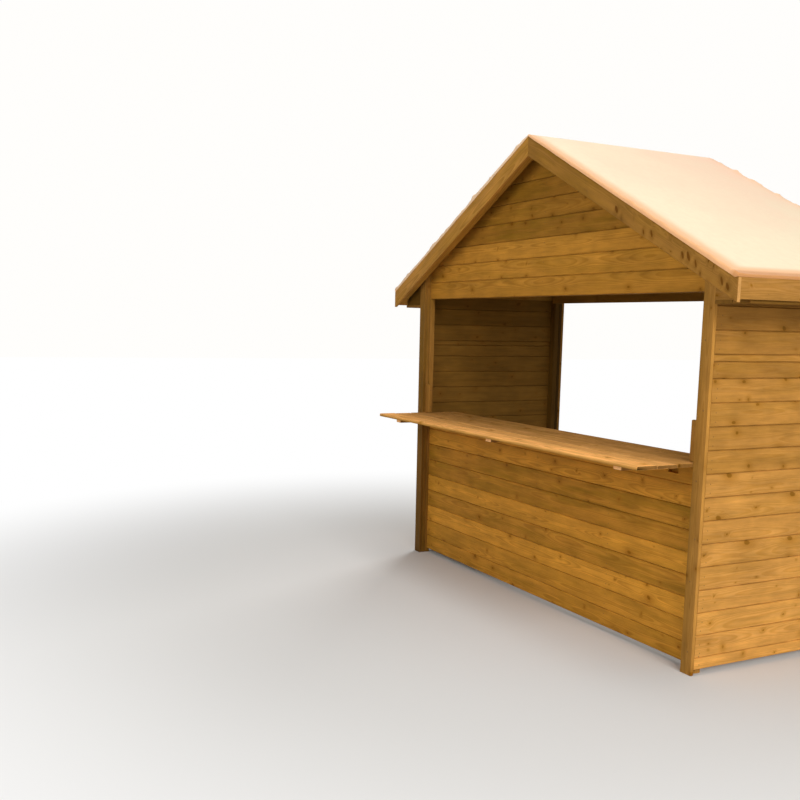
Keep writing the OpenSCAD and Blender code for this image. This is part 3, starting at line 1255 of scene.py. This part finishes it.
@dataclass
class Corners(Carpentry):
    """The four corners: a trim board in front of a post that is made of two battens."""

    seam: float = 0.025
    seam_gap: float = 0.002
    screw_heights: tuple[float, ...] = (0.12, 0.48, 0.70, 0.99, 1.34, 1.68)
    screw_step: float = 0.008
    edge_reach: float = 0.005

    TRIM_TONE = -0.2
    BATTEN_TONES = (0.0, 0.2)
    # Painted shade on the rear posts, most on the left.
    REAR_SHADE = {Side.LEFT: -1.7, Side.RIGHT: -0.5}
    # Painted light on a trim's outer side face, and on the right painted shade across its front
    # face from the inner edge.
    OUTER_EDGE = -0.9
    INNER_EDGE = {Side.LEFT: 0.0, Side.RIGHT: 0.45}

    def build(self) -> None:
        """Makes the posts and the trim boards."""
        hut = self.hut
        front, split = hut.trim_back, hut.trim_back + self.seam
        battens = ((front, split - self.seam_gap / 2), (split + self.seam_gap / 2, hut.post_back))
        for side, face in product(Side, Face):
            name = f"{face.word}_{side.word}"
            shade = 0.0 if face is Face.FRONT else self.REAR_SHADE[side]
            self.make(f"{name}_post_battens", CORNER_TIMBER, f"{name}_post", (
                self.upright((hut.jamb, hut.wall_in), y, side, face, tone + shade)
                for y, tone in zip(battens, self.BATTEN_TONES)))
            self.make(f"{name}_trim_board", CORNER_TIMBER, f"{name}_trim", [self.upright(
                (hut.jamb, hut.half_width), (hut.front, front), side, face, self.TRIM_TONE)])
            for i, z in enumerate(self.screw_heights):
                x = (hut.jamb + hut.half_width) / 2 + self.screw_step * (-1) ** i
                self.screws.add((side.value * x, hut.mirrored_y(hut.front, face), z),
                                (0, face.value, 0))

    def upright(self, x: Point2, y: Point2, side: Side, face: Face, tone: float) -> Timber:
        """Makes a timber that stands on the floor and is cut to the roof's slope.

        Args:
            x: its reach on the right side.
            y: its reach on the front.
            side: half of the hut.
            face: front or back.
            tone: how much lighter it is than its neighbours.

        Returns:
            The timber.
        """
        hut = self.hut
        a = sorted(v * side.value for v in x)
        b = sorted(hut.mirrored_y(v, face) for v in y)
        top = Cut(hut.ridge - hut.deck_v, per_a=-hut.fall * side.value)
        # Painted shade: the left uprights are darker, most at the foot below the counter, and the
        # rear ones are darker at the foot too.
        foot, head, green = (-0.1, -0.1, 0.1) if side is Side.RIGHT else (-1.3, -0.6, 0.5)
        if face is Face.REAR:
            foot, head, green = -0.4, -0.2, 0.3
        tone += self.draw.uniform(-0.1, 0.1)
        outline = rectangle(a, b, 0.002)
        # Painted light and painted shade for each outline point.
        edge = [self.OUTER_EDGE if abs(spot[0]) == hut.half_width
                else self.INNER_EDGE[side] if abs(spot[0]) < hut.jamb + self.edge_reach
                else 0.0 for spot in outline]
        return Timber(outline, (Cut(0.0), top), PLUMB, Look(foot + tone, green, 0.3),
                      Look(head + tone, green, 0.3), shaded=edge, chamfer=0.0015)


@dataclass
class FrontWall(Carpentry):
    """The boards below the counter."""

    nail_inset: float = 0.02
    stud_share: float = 0.008

    COURSES = 7
    LOWEST = Look(-0.1, 0.4, 0.65)
    # From the floor up: each board's own tone, and partly painted shade under the counter, which
    # makes the two boards below the top one darker and greener.
    LOOKS = (
        Look(-0.05, 0.3, 0.5), Look(0.35, 0.15, 0.5), Look(-0.25, 0.55, 0.4),
        Look(0.2, 0.3, 0.35), Look(-0.4, 0.6, 0.5), Look(-0.4, 0.75, 0.6),
        Look(0.05, 0.15, 0.65),
    )

    def build(self) -> None:
        """Lays the wall's boards, from the floor up."""
        hut = self.hut
        lo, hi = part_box("front_wall")
        ends = square(-hut.jamb, hut.jamb)
        origins = [Vector((0, lo.y, hi.z - (self.COURSES - i) * hut.cover))
                   for i in range(self.COURSES)]
        lowest = self.profile.board(ends, axes_of((0, lo.y, lo.z), (1, 0, 0), (0, 1, 0)),
                                    self.LOWEST, height=origins[0].z - lo.z)
        self.make("front_wall_boards", FRONT_BOARDS, "front_wall", [lowest],
                  BoardStack(self.profile.board(ends), origins, Euler(), self.LOOKS))
        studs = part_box("front_wall_studs")
        reach = studs[1].x - (studs[1].x - studs[0].x) * self.stud_share
        edge = hut.jamb - self.nail_inset
        for foot in (origins[0].z - hut.cover, *(origin.z for origin in origins)):
            for x, up in product((-edge, -reach, 0.0, reach, edge), NAIL_LINES):
                self.nails.add((x + self.draw.uniform(-NAIL_STRAY, NAIL_STRAY), lo.y,
                                foot + up * hut.cover), (0, -1, 0))


@dataclass
class SideWalls(Carpentry):
    """The two boarded side walls, from the floor gap to the roof boards."""

    first_joint: float = 0.089
    strip_top: float = 1.615
    strip_h: float = 0.035
    shadow_from: float = 1.6
    nailed: float = 0.8

    def build(self) -> None:
        """Makes both walls."""
        for side in Side:
            self.wall(side)

    def wall(self, side: Side) -> None:
        """Lays one wall's boards.

        Args:
            side: half of the hut.
        """
        hut, s, name = self.hut, side.value, f"{side.word}_wall"
        y0, y1 = hut.trim_back, hut.front + hut.rear - hut.trim_back
        middle, half = (y0 + y1) / 2, (y1 - y0) / 2
        top = hut.roof(hut.half_width, hut.deck_v)
        joints = [self.first_joint]
        while joints[-1] + hut.cover < top:
            joints.append(joints[-1] + hut.cover)
        strip = min(range(len(joints)), key=lambda i: abs(joints[i] - self.strip_top))
        full = [joints[i] for i in range(len(joints) - 1) if i != strip - 1]
        below = joints[strip] - self.strip_h
        stack = BoardStack(
            self.profile.board(square(-half, half)),
            [Vector((s * hut.half_width, middle, foot)) for foot in full],
            Euler((0, 0, math.pi / 2 * s)), [self.look(side, foot) for foot in full])
        self.make(f"{name}_boards", SIDE_BOARDS, name, (
            self.profile.board(
                square(-half, half),
                axes_of((s * hut.half_width, middle, foot), (0, s, 0), (-s, 0, 0)),
                self.look(side, foot), height=head - foot, tongue=head != top,
                back=hut.roof(hut.wall_in, hut.deck_v) - foot if head == top else None)
            for foot, head in ((hut.wall_foot, joints[0]), (joints[strip - 1], below),
                               (below, joints[strip]), (joints[-1], top))), stack)
        inset = (hut.post_back - hut.trim_back) / 2
        for foot, y, up in product(
                (hut.wall_foot, *full, joints[strip - 1]), (y0 + inset, y1 - inset), NAIL_LINES):
            self.nails.add((s * hut.half_width, y + self.draw.uniform(-NAIL_STRAY, NAIL_STRAY),
                            foot + up * hut.cover * self.nailed), (s, 0, 0))

    def look(self, side: Side, foot: float) -> Look:
        """Draws a board's look. The boards darken towards the eaves, as painted shade.

        Args:
            side: half of the hut.
            foot: height of the board's foot.

        Returns:
            The look.
        """
        # Painted shade: the tone falls with height and faster under the eaves, and the green share
        # changes with it.
        high = max(foot - self.shadow_from, 0.0)
        base = 0.27 - 0.62 * foot if side is Side.RIGHT else 0.25 - 0.45 * foot
        return Look(base - 1.2 * high + self.draw.uniform(-0.12, 0.12),
                    max(0.0, self.draw.uniform(0.05, 0.2) + 0.12 * foot - 2.5 * high),
                    self.draw.uniform(0.4, 0.8))


@dataclass
class Gables(Carpentry):
    """The boarded triangles above the hatch and above the open back."""

    nail_inset: float = 0.03
    beam_clear: float = 0.1
    top_gap: float = 0.001

    # Painted shade: from the fourth board up the boards are darker and greener, under the roof's
    # overhang.
    LOOKS = (
        Look(-0.25, 0.2, 0.5), Look(-0.1, 0.3, 0.5), Look(0.0, 0.15, 0.4), Look(-0.65, 0.7, 0.8),
        Look(-0.6, 0.5, 0.9), Look(-0.75, 0.55, 0.9), Look(-0.6, 0.5, 0.5), Look(-0.6, 0.5, 0.4),
    )

    def build(self) -> None:
        """Makes both gables."""
        for face in Face:
            self.make(f"{face.word}_gable_boards", GABLE_BOARDS, f"{face.word}_gable",
                      self.boards(face))

    def boards(self, face: Face) -> Iterator[Timber]:
        """Cuts one gable's boards to the slope at both ends, and nails them.

        Args:
            face: front or back.

        Yields:
            The boards, from the hatch's head up.
        """
        hut = self.hut
        peak, y = hut.ridge - hut.deck_v, hut.mirrored_y(hut.gable_y, face)
        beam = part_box("ridge_beam")
        gap = beam[1].x
        foot, course = hut.head, 0
        while foot < peak - LOWEST_BOARD:
            reach = (peak - foot) / hut.fall
            highest = min(hut.cover, peak - foot)
            whole = highest == hut.cover
            shape, dirt = self.profile.outline(highest, whole)
            axes = axes_of((0, y, foot), (-face.value, 0, 0), (0, -face.value, 0))
            look = self.LOOKS[course % len(self.LOOKS)]
            ends = self.ends(reach)
            if whole:
                yield Timber(shape, ends, axes, look, grooves=dirt)
            else:
                top = min(highest - self.top_gap, (reach - gap) * hut.fall)
                for half in ((ends[0], Cut(-gap)), (Cut(gap), ends[1])):
                    yield Timber([(a, min(b, top)) for a, b in shape], half, axes, look,
                                 grooves=dirt)
            for up in NAIL_LINES:
                z = foot + up * highest
                edge = min(hut.jamb, (peak - z) / hut.fall) - self.nail_inset
                for x in (-edge, 0.0, edge):
                    if abs(x) > self.beam_clear or foot < beam[0].z - hut.cover:
                        self.nails.add((x, y, z), (0, face.value, 0))
            foot += hut.cover
            course += 1

    def ends(self, reach: float) -> tuple[Cut, Cut]:
        """Cuts that follow the roof's slope.

        Args:
            reach: half width of the gable at the board's foot.

        Returns:
            The cuts at the left and the right end.
        """
        hut = self.hut
        if reach - hut.cover / hut.fall > hut.jamb:
            return square(-hut.jamb, hut.jamb)
        per = 1 / hut.fall
        return Cut(-reach, per_b=per), Cut(reach, per_b=-per)


@dataclass
class Counter(Carpentry):
    """The counter's planks, the arms under it and the two cleats beside the posts."""

    arm_width: float = 0.065
    joint: float = 0.001
    arris: float = 0.002
    round_over: float = 0.004
    round_drop: float = 0.0008
    screw_stray: float = 0.006
    screw_sunk: float = 0.0008
    arm_gap: float = 0.0005

    # The arms are darker, partly dirt and partly painted shade under the counter.
    ARM_LOOK = Look(-1.1, 0.0, 0.1)
    CLEAT_LOOK = Look(-0.6, 0.1, 0.1)
    PLANK_SCREWS = (0.22, 0.78)
    CLEAT_SCREWS = (0.2, 0.8)
    # Painted light on the front plank, beyond the roof's shadow, and painted shade on the planks
    # further in.
    LOOKS = (Look(1.25, 0.0, 0.2), Look(0.5, 0.1, 0.3), Look(-0.15, 0.2, 0.4),
             Look(-0.3, 0.3, 0.3), Look(-0.3, 0.3, 0.4))
    DROPS = (0.0, 0.0016, 0.0004, 0.002, 0.0008)

    def build(self) -> None:
        """Makes the counter, its arms and its cleats."""
        self.make("counter_planks", COUNTER_WOOD, "counter_top", self.top())
        self.make("counter_arm_battens", COUNTER_ARMS, "counter_arms", self.arms())
        for side in Side:
            name = f"{side.word}_jamb_cleat"
            lo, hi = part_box(name)
            self.make(f"{name}_block", CORNER_TIMBER, name, [Timber(
                rectangle((lo.x, hi.x), (lo.y, hi.y), 0.003), square(lo.z, hi.z), PLUMB,
                self.CLEAT_LOOK, chamfer=0.003)])
            for share in self.CLEAT_SCREWS:
                self.screws.add(
                    (lo.x if side is Side.RIGHT else hi.x, (lo.y + hi.y) / 2,
                     lo.z + share * (hi.z - lo.z)), (-side.value, 0, 0))

    def arms(self) -> Iterator[Timber]:
        """Screws every plank down to each arm, and makes the arm.

        Yields:
            The arms, from left to right.
        """
        lo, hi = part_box("counter_arms")
        low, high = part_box("counter_top")
        plank, half = (high.y - low.y) / len(self.DROPS), self.arm_width / 2
        outer = (hi.x - lo.x) / 2 - half
        for x in (-outer, 0.0, outer):
            for (i, drop), share in product(enumerate(self.DROPS), self.PLANK_SCREWS):
                self.screws.add((x + self.draw.uniform(-self.screw_stray, self.screw_stray),
                                 low.y + (i + share) * plank,
                                 high.z - drop - self.screw_sunk), (0, 0, 1))
            yield Timber(rectangle((-half, half), (lo.z, hi.z - self.arm_gap), 0.0025),
                         square(lo.y, hi.y), axes_of((x, 0, 0), (0, 1, 0), (-1, 0, 0)),
                         self.ARM_LOOK, chamfer=0.002)

    def top(self) -> Iterator[Timber]:
        """Shapes the planks, with rounded edges at the front and the back.

        Yields:
            The planks, from the front.
        """
        lo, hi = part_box("counter_top")
        width, thick = (hi.y - lo.y) / len(self.LOOKS), hi.z - lo.z
        near, dip, arris = self.round_over, self.round_drop, self.arris
        for i, (look, drop) in enumerate(zip(self.LOOKS, self.DROPS)):
            a, b = float(i > 0), float(i < len(self.LOOKS) - 1)
            left, right = self.joint * a, width - self.joint * b
            outline = [
                (left, -drop - near), (left, arris - thick), (left + arris, -thick),
                (right - arris, -thick), (right, arris - thick), (right, -drop - near),
                (right - near, -drop - dip), (right - 2 * near, -drop),
                (left + 2 * near, -drop), (left + near, -drop - dip),
            ]
            # Painted shade darkens the front plank's front face towards its lower edge.
            yield Timber(outline, square(lo.x, hi.x),
                         axes_of((0, lo.y + i * width, hi.z), (1, 0, 0), (0, 1, 0)), look,
                         grooves=[a, a, 0.1, 0.1, b, b, 0.8 * b, 0.0, 0.0, 0.8 * a],
                         shaded=([0.0] * 3 if i else [0.2, 1.0, 1.0]) + [0.0] * 7, chamfer=0.0015)


@dataclass
class Roof(Carpentry):
    """Roof boards, bargeboards and the boxed eaves."""

    fascia_nails: int = 4
    nails_in: Point2 = (0.025, 0.035)
    soffit_gap: float = 0.0016
    # Painted shade: the soffit boards under the fascia are darker.
    soffit_tone: Point2 = (-1.25, -1.1)
    deck_tone: float = 0.15

    BARGE_LOOKS = {
        Side.LEFT: (Look(0.1, 0.5, 0.03), Look(0.15, 0.25, 0.04)),
        Side.RIGHT: (Look(-0.7, 0.5, -1.2), Look(-0.45, 0.1, 1.5)),
    }
    BARGE_SCREWS = tuple(product((0.045, 0.34, 0.66, 0.97), (0.28, 0.72)))
    FASCIA_LOOK = Look(0.05, 0.15, 0.3)
    # Painted shade on the left eave's end boards, under the bargeboard.
    END_LOOKS = {Side.LEFT: Look(-1.7, 0.4, 0.3), Side.RIGHT: Look(-0.4, 0.1, 0.9)}

    def build(self) -> None:
        """Makes the roof's timber."""
        for side in Side:
            self.deck(side)
            self.eave(side)
            self.make(f"{side.word}_eave_end_boards", EAVE_WOOD, f"{side.word}_eave_ends",
                      self.end_boards(side))
            for face in Face:
                self.bargeboard(side, face)

    def deck(self, side: Side) -> None:
        """Lays the boards of one slope, with their joints facing down.

        Args:
            side: half of the hut.
        """
        hut = self.hut
        lo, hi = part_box(f"{side.word}_roof_deck")
        cosine, sine = math.cos(hut.slope), math.sin(hut.slope)
        thick, length = hut.deck_v * cosine, hut.fascia_in / cosine
        profile = BoardProfile(thick, hut.cover)
        count = int(length / hut.cover)
        half = (hi.y - lo.y) / 2
        down = Vector((side.value * cosine, 0, -sine))
        up = Vector((side.value * sine, 0, cosine))
        run = up.cross(down)
        first = math.tan(hut.slope) * thick
        start = Vector((0, (lo.y + hi.y) / 2, hut.ridge)) - up * thick
        feet = [start + down * (first + i * hut.cover) for i in range(count + 1)]
        looks = [Look(self.draw.uniform(-self.deck_tone, self.deck_tone)) for _ in range(count)]
        last = profile.board(square(-half, half), axes_of(feet[-1], run, up),
                             height=length - count * hut.cover - first, tongue=False)
        self.make(f"{side.word}_roof_boards", ROOF_WOOD, f"{side.word}_roof_deck", [last],
                  BoardStack(profile.board(square(-half, half)), feet[:-1],
                             axes_of((0, 0, 0), run, up).to_euler(), looks))

    def bargeboard(self, side: Side, face: Face) -> None:
        """Makes one bargeboard, cut plumb at the peak and at the eave.

        Args:
            side: half of the hut.
            face: front or back.
        """
        hut = self.hut
        node = f"{face.word}_{side.word}_bargeboard"
        lo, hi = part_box(node)
        cosine, sine = math.cos(hut.slope), math.sin(hut.slope)
        width = hut.barge_v * cosine
        axes = axes_of((0, lo.y, hut.ridge), (side.value * cosine, 0, -sine), (0, 1, 0))
        turned = (axes.to_3x3() @ Vector((0, 0, 1))).z < 0
        b, per = ((0.0, width), hut.fall) if turned else ((-width, 0.0), -hut.fall)
        look, far = self.BARGE_LOOKS[side]
        self.make(f"{node}_plank", BARGE_WOOD, node, [Timber(
            rectangle((0.0, hi.y - lo.y), b, 0.002),
            (Cut(0.0, per_b=per), Cut(hut.eave / cosine, per_b=per)), axes, look, far,
            chamfer=0.001)])
        y = (lo.y if face is Face.FRONT else hi.y) - face.value * self.screws.proud
        for along, down in self.BARGE_SCREWS:
            x = along * hut.eave
            self.screws.add((side.value * x, y, hut.roof(x, hut.barge_v * down)),
                            (0, face.value, 0))

    def eave(self, side: Side) -> None:
        """Makes the fascia and the two soffit boards of one eave.

        Args:
            side: half of the hut.
        """
        hut, s = self.hut, side.value
        lo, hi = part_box(f"{side.word}_fascia")
        outer, inner = hut.eave * s, hut.fascia_in * s
        rise = hut.fall * (hut.eave - hut.fascia_in)
        shape = [(inner, lo.z), (outer, lo.z), (outer, hi.z - rise), (inner, hi.z)][::s]
        axes = axes_of((0, 0, 0), (0, -1, 0), (1, 0, 0))
        self.make(f"{side.word}_fascia_board", EAVE_WOOD, f"{side.word}_fascia", [Timber(
            shape, square(-hi.y, -lo.y), axes, self.FASCIA_LOOK, chamfer=0.001)])
        low_nails, high_nails = lo.z + self.nails_in[0], hi.z - self.nails_in[1]
        for i, z in product(range(self.fascia_nails), (low_nails, high_nails)):
            y = lo.y + (hi.y - lo.y) * (i + 0.5) / self.fascia_nails
            self.nails.add((outer - s * self.nails.proud, y, z), (s, 0, 0))
        low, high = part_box(f"{side.word}_soffit")
        middle, gap = (low.x + high.x) / 2, self.soffit_gap / 2
        self.make(f"{side.word}_soffit_boards", EAVE_WOOD, f"{side.word}_soffit", (
            Timber(rectangle(x, (low.z, high.z), 0.0025), square(-high.y, -low.y), axes,
                   Look(self.draw.uniform(*self.soffit_tone), 0.2, 0.2), chamfer=0.001)
            for x in ((low.x, middle - gap), (middle + gap, high.x))))

    def end_boards(self, side: Side) -> Iterator[Timber]:
        """Cuts the boards that close an eave's two ends to the slope.

        Args:
            side: half of the hut.

        Yields:
            The boards, from the soffit up.
        """
        hut = self.hut
        under, limit = hut.ridge - hut.deck_v, hut.roof(hut.half_width, hut.deck_v)
        for face in Face:
            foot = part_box(f"{side.word}_soffit")[1].z
            depth = sorted((0.0, -face.value * side.value * hut.board_t))
            while foot < limit - LOWEST_BOARD:
                top = min(foot + hut.cover, limit)
                reach, highest = (min(hut.fascia_in, (under - z) / hut.fall) for z in (foot, top))
                per = (reach - highest) / (top - foot)
                yield Timber(
                    rectangle(depth, (0.0, top - foot)),
                    (Cut(hut.half_width), Cut(reach, per_b=-per)),
                    axes_of((0, hut.mirrored_y(hut.front, face), foot), (side.value, 0, 0),
                            (0, side.value, 0)), self.END_LOOKS[side])
                foot += hut.cover


@dataclass
class Fleece:
    """The white fleece that is laid over the roof, tufted along its edges.

    Attributes:
        hut: sizes of the hut.
        thick: thickness where it lies flat.
        across: even steps over both slopes.
        deep: even steps along the ridge.
        rim: distances of the closer rows from an edge.
        lip: how far the front right edge hangs down at the eave.
        lip_ends: lengths over which the lip fades in and out.
        soft: width over which its edges are rounded.
        hem: width over which the verges stray.
        stray: how far they do.
        worn_verge: width of the strip along a verge where the fleece is worn thin, partly painted
            shade.
        worn_eave: width of that strip along an eave, and of its fading part.
    """

    hut: Survey
    thick: float = 0.012
    across: int = 220
    deep: int = 84
    rim: tuple[float, ...] = (0.0, 0.0012, 0.0035, 0.007, 0.012, 0.019, 0.028, 0.039)
    lip: float = 0.0095
    lip_ends: Point2 = (0.03, 0.015)
    soft: float = 0.006
    hem: float = 0.05
    stray: float = 0.004
    worn_verge: float = 0.11
    worn_eave: Point2 = (0.115, 0.088)

    FOLDS = ((3.1, 3.1), (31.0, 5.9), (13.0, 7.7), (37.0, 2.2))

    def build(self) -> None:
        """Makes the sheet as a closed skin."""
        lo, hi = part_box("snow_fleece")
        half = hi.x / math.cos(self.hut.slope)
        columns = self.stations(-half, half, self.across)
        rows = self.stations(lo.y, hi.y, self.deep)
        top, under, thin, blush = [], [], [], []
        for s, y in product(columns, rows):
            right, down = s > 0, abs(s) / half
            verge = min(y - lo.y, hi.y - y)
            edge = min(half - abs(s), verge)
            ahead = 1 if y < (lo.y + hi.y) / 2 else -1
            wander = self.stray * noise.noise(Vector((s * 9.0, y * 9.0, 1.7)))
            wander += -0.003 if s < 0 else -0.0065 if ahead > 0 else 0.006
            blunt = math.sqrt(max(0.0, 1 - (1 - min(edge / self.soft, 1.0)) ** 2))
            height = (self.thick + self.lump(s, y, edge, hi.y)) * blunt
            there = y + ahead * wander * math.exp(-((verge / self.hem) ** 2))
            lip = 0.0
            if ahead > 0 and right:
                lip = self.lip * down * max(0.0, 1 - verge / self.soft)
                lip *= min(1.0, s / self.lip_ends[0], (half - s) / self.lip_ends[1])
            top.append(self.place(s, there, max(height, 0.0006) - lip))
            under.append(self.place(s, there, -lip))
            # The rim band is worn thin and partly painted shade, strongest at the front and on the
            # right slope.
            worn = 0.78 * max(0.0, 1 - verge / (self.worn_verge + 0.02 * down)) ** 1.2
            worn *= 1.0 if ahead > 0 else 0.4
            worn = max(worn, min(1.0, (self.worn_eave[0] - half + abs(s)) / self.worn_eave[1]))
            thin.append(worn * (1.0 if right else 0.45))
            # Painted warm light that grows towards the ridge and the rear, more on the right slope.
            blush.append((1 - down) * (y - lo.y) / (hi.y - lo.y) * (0.9 if right else 0.3))
        piece = self.skin(top, under, len(columns), len(rows))
        store(piece.data, "thin", thin * 2)
        store(piece.data, "blush", blush * 2)
        settle(piece, FleeceFinish().slot, "snow_fleece")

    def stations(self, low: float, high: float, count: int) -> list[float]:
        """Spaces rows of points, closer together near both edges.

        Args:
            low: one edge.
            high: the other edge.
            count: number of even steps between the two rims.

        Returns:
            The rows' places.
        """
        inner, outer = low + self.rim[-1], high - self.rim[-1]
        even = [inner + (outer - inner) * i / count for i in range(1, count)]
        return [low + d for d in self.rim] + even + [high - d for d in reversed(self.rim)]

    def place(self, s: float, y: float, height: float) -> Vector:
        """Finds a point on the roof.

        Args:
            s: distance from the ridge along the slope, negative on the left.
            y: distance along the ridge.
            height: height above the roof, square to the slope.

        Returns:
            The point.
        """
        cosine, sine = math.cos(self.hut.slope), math.sin(self.hut.slope)
        lean = max(-1.0, min(1.0, s / 0.035))
        return Vector((s * cosine + lean * height * sine, y,
                       self.hut.ridge - abs(s) * sine + height * cosine))

    def lump(self, s: float, y: float, edge: float, rear: float) -> float:
        """Extra thickness from folds and from loose tufts along the edge.

        Args:
            s: distance from the ridge along the slope.
            y: distance along the ridge.
            edge: distance to the nearest edge.
            rear: y of the rear edge.

        Returns:
            The extra thickness.
        """
        wide, fine, tuft, wisp = (
            noise.noise(Vector((s * scale, y * scale, layer))) for scale, layer in self.FOLDS)
        near = math.exp(-((edge / 0.035) ** 2))
        bead = math.exp(-(((edge - 0.008) / 0.013) ** 2)) * (0.010 if s < 0 else 0.001)
        tufts = 0.018 if s < 0 or rear - y < 0.05 else 0.006
        return min(1.0, abs(s) / 0.12) * (
            0.0016 * wide + 0.0007 * fine + bead + near * tufts * max(0.0, tuft + 0.5 * wisp))

    @staticmethod
    def skin(top: list[Vector], under: list[Vector], long: int, wide: int) -> bpy.types.Object:
        """Closes the sheet's two faces along its rim.

        Args:
            top: points of the upper face, row by row.
            under: points of the lower face in the same order.
            long: number of rows.
            wide: number of points in a row.

        Returns:
            The object.
        """
        count = len(top)
        faces = []
        for i, j in product(range(long - 1), range(wide - 1)):
            a, b = i * wide + j, (i + 1) * wide + j
            faces.append([a, b, b + 1, a + 1])
            faces.append([count + a, count + a + 1, count + b + 1, count + b])
        rim = [i * wide for i in range(long)]
        rim += [(long - 1) * wide + j for j in range(1, wide)]
        rim += [i * wide + wide - 1 for i in range(long - 2, -1, -1)]
        rim += list(range(wide - 2, 0, -1))
        for here, there in zip(rim, rim[1:] + rim[:1]):
            faces.append([here, count + here, count + there, there])
        piece = closed(new_mesh("snow_fleece_sheet", top + under, faces,
                                FleeceFinish().material()))
        piece.data.shade_smooth()
        return piece


@dataclass
class PlainTimbers:
    """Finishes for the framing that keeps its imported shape."""

    frame: dict

    RUNS = {
        Run.ALONG_X: ("front_wall_bottom_rail", "front_lintel", "rear_lintel"),
        Run.ALONG_Y: ("left_wall_bottom_rail", "right_wall_bottom_rail", "left_wall_plate",
                      "right_wall_plate", "ridge_beam"),
        Run.ALONG_Z: ("front_wall_studs", "gable_studs"),
        Run.DOWN_RIGHT: ("right_rafters",),
    }

    def build(self) -> None:
        """Gives each node its wood."""
        self.dress("front_wall_top_rail", FRONT_BOARDS, Run.ALONG_X, Look(0.15, 0.2, 0.3))
        # Painted light: the left rafters are lighter, for light on their undersides.
        self.dress("left_rafters", FRAME_WOOD, Run.DOWN_LEFT, Look(0.8, 0.1, 0.1))
        for run, names in self.RUNS.items():
            for name in names:
                self.dress(name, FRAME_WOOD, run, Look())

    def dress(self, name: str, finish: WoodFinish, run: Run, look: Look) -> None:
        """Gives one node its wood.

        Args:
            name: the node.
            finish: its wood.
            run: direction of its grain.
            look: how its wood differs.
        """
        mesh = self.frame["nodes"][name].data
        mesh.materials.clear()
        mesh.materials.append(finish.material(run, look))
        LOG.info("%s keeps its shape", name)


@dataclass
class Studio:
    """Camera, floor and lamps."""

    position: tuple[float, float, float] = (5.0251, -3.9517, 1.7222)
    yaw: float = 1.0903
    pitch: float = -0.147
    roll: float = 0.0216
    focal_px: float = 976.5
    image_px: float = 800.0
    centre_px: Point2 = (410.6, 469.6)
    floor_reach: float = 40.0
    fade: Point2 = (2.3, 5.6)
    sky: float = 0.14

    AIM = Vector((0, 0, 1.2))
    LAMPS = (
        ("key", (7.4, -2.0, 5.4), 4.2, 405.0),
        ("low", (7.0, 0.6, 1.3), 3.0, 60.0),
        ("top", (0.7, -0.4, 6.8), 3.5, 115.0),
        ("fill", (1.6, -6.4, 3.3), 3.0, 178.0),
        ("back", (-6.0, 5.6, 5.0), 3.5, 450.0),
    )

    def build(self) -> None:
        """Sets up everything that isn't part of the hut."""
        self.camera()
        self.floor()
        self.lamps()
        bpy.context.scene.view_settings.view_transform = "Standard"

    def camera(self) -> None:
        """Places the camera where the photograph was taken."""
        data = bpy.data.cameras.new("camera")
        data.sensor_width = 36.0
        data.lens = self.focal_px * data.sensor_width / self.image_px
        data.shift_x = (self.image_px / 2 - self.centre_px[0]) / self.image_px
        data.shift_y = (self.centre_px[1] - self.image_px / 2) / self.image_px
        data.clip_end = 100.0
        camera = put_in_scene(bpy.data.objects.new("camera", data))
        camera.matrix_world = (
            Matrix.Translation(self.position) @ Matrix.Rotation(self.yaw, 4, "Z")
            @ Matrix.Rotation(math.pi / 2 + self.pitch, 4, "X")
            @ Matrix.Rotation(self.roll, 4, "Z"))
        bpy.context.scene.camera = camera

    def floor(self) -> None:
        """Lays a plain pale floor that fades to white for the camera."""
        material, w, shader = new_material("studio_floor")
        w.plug(shader, {"Base Color": (0.66, 0.65, 0.63, 1.0), "Roughness": 0.9})
        away = w.read("ShaderNodeVectorMath", {0: w.place()}, "Value", operation="LENGTH")
        fade = w.step(away, *self.fade) * w.outputs(w.node("ShaderNodeLightPath"))["Is Camera Ray"]
        mixed = w.read("ShaderNodeMixShader", {
            0: fade, 1: shader.outputs[0], 2: w.read("ShaderNodeEmission")})
        w.plug(material.node_tree.nodes["Material Output"], {"Surface": mixed})
        r = self.floor_reach
        mesh = new_mesh("studio_floor", [(-r, -r, 0), (r, -r, 0), (r, r, 0), (-r, r, 0)],
                        [(0, 1, 2, 3)], material)
        put_in_scene(bpy.data.objects.new("studio_floor", mesh))

    def lamps(self) -> None:
        """Lights the hut with soft lamps and an even sky."""
        world = bpy.data.worlds.new("studio")
        bpy.context.scene.world = world
        world.use_nodes = True
        w = Wiring(world.node_tree)
        ray = w.outputs(w.node("ShaderNodeLightPath"))
        seen = w.highest(w.highest(ray["Is Camera Ray"], ray["Is Glossy Ray"]),
                         ray["Is Transmission Ray"])
        w.plug(world.node_tree.nodes["Background"], {
            "Color": (1.0, 0.99, 0.97, 1.0), "Strength": seen * (1.0 - self.sky) + self.sky})
        for name, place, size, power in self.LAMPS:
            data = bpy.data.lights.new(name, "AREA")
            data.size = size
            data.energy = power
            lamp = put_in_scene(bpy.data.objects.new(name, data))
            lamp.location = place
            aim = self.AIM - Vector(place)
            lamp.rotation_euler = aim.to_track_quat("-Z", "Y").to_euler()


def main() -> None:
    """Builds and dresses the whole hut."""
    logging.basicConfig(level=logging.INFO, format="%(name)s %(message)s")
    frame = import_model()
    hut = Survey.from_frame()
    draw = random.Random(SEED)
    Studio().build()
    nails = Fixings("nail_heads", 0.0026, 0.0005, 0.0)
    screws = Fixings("screw_heads", 0.0045, 0.0006, 0.45)
    for part in (Corners, FrontWall, SideWalls, Gables, Counter, Roof):
        part(hut, draw, nails, screws).build()
    steel = MetalFinish().material()
    nails.build(steel)
    screws.build(steel)
    Fleece(hut).build()
    PlainTimbers(frame).build()


if __name__ == "__main__":
    main()
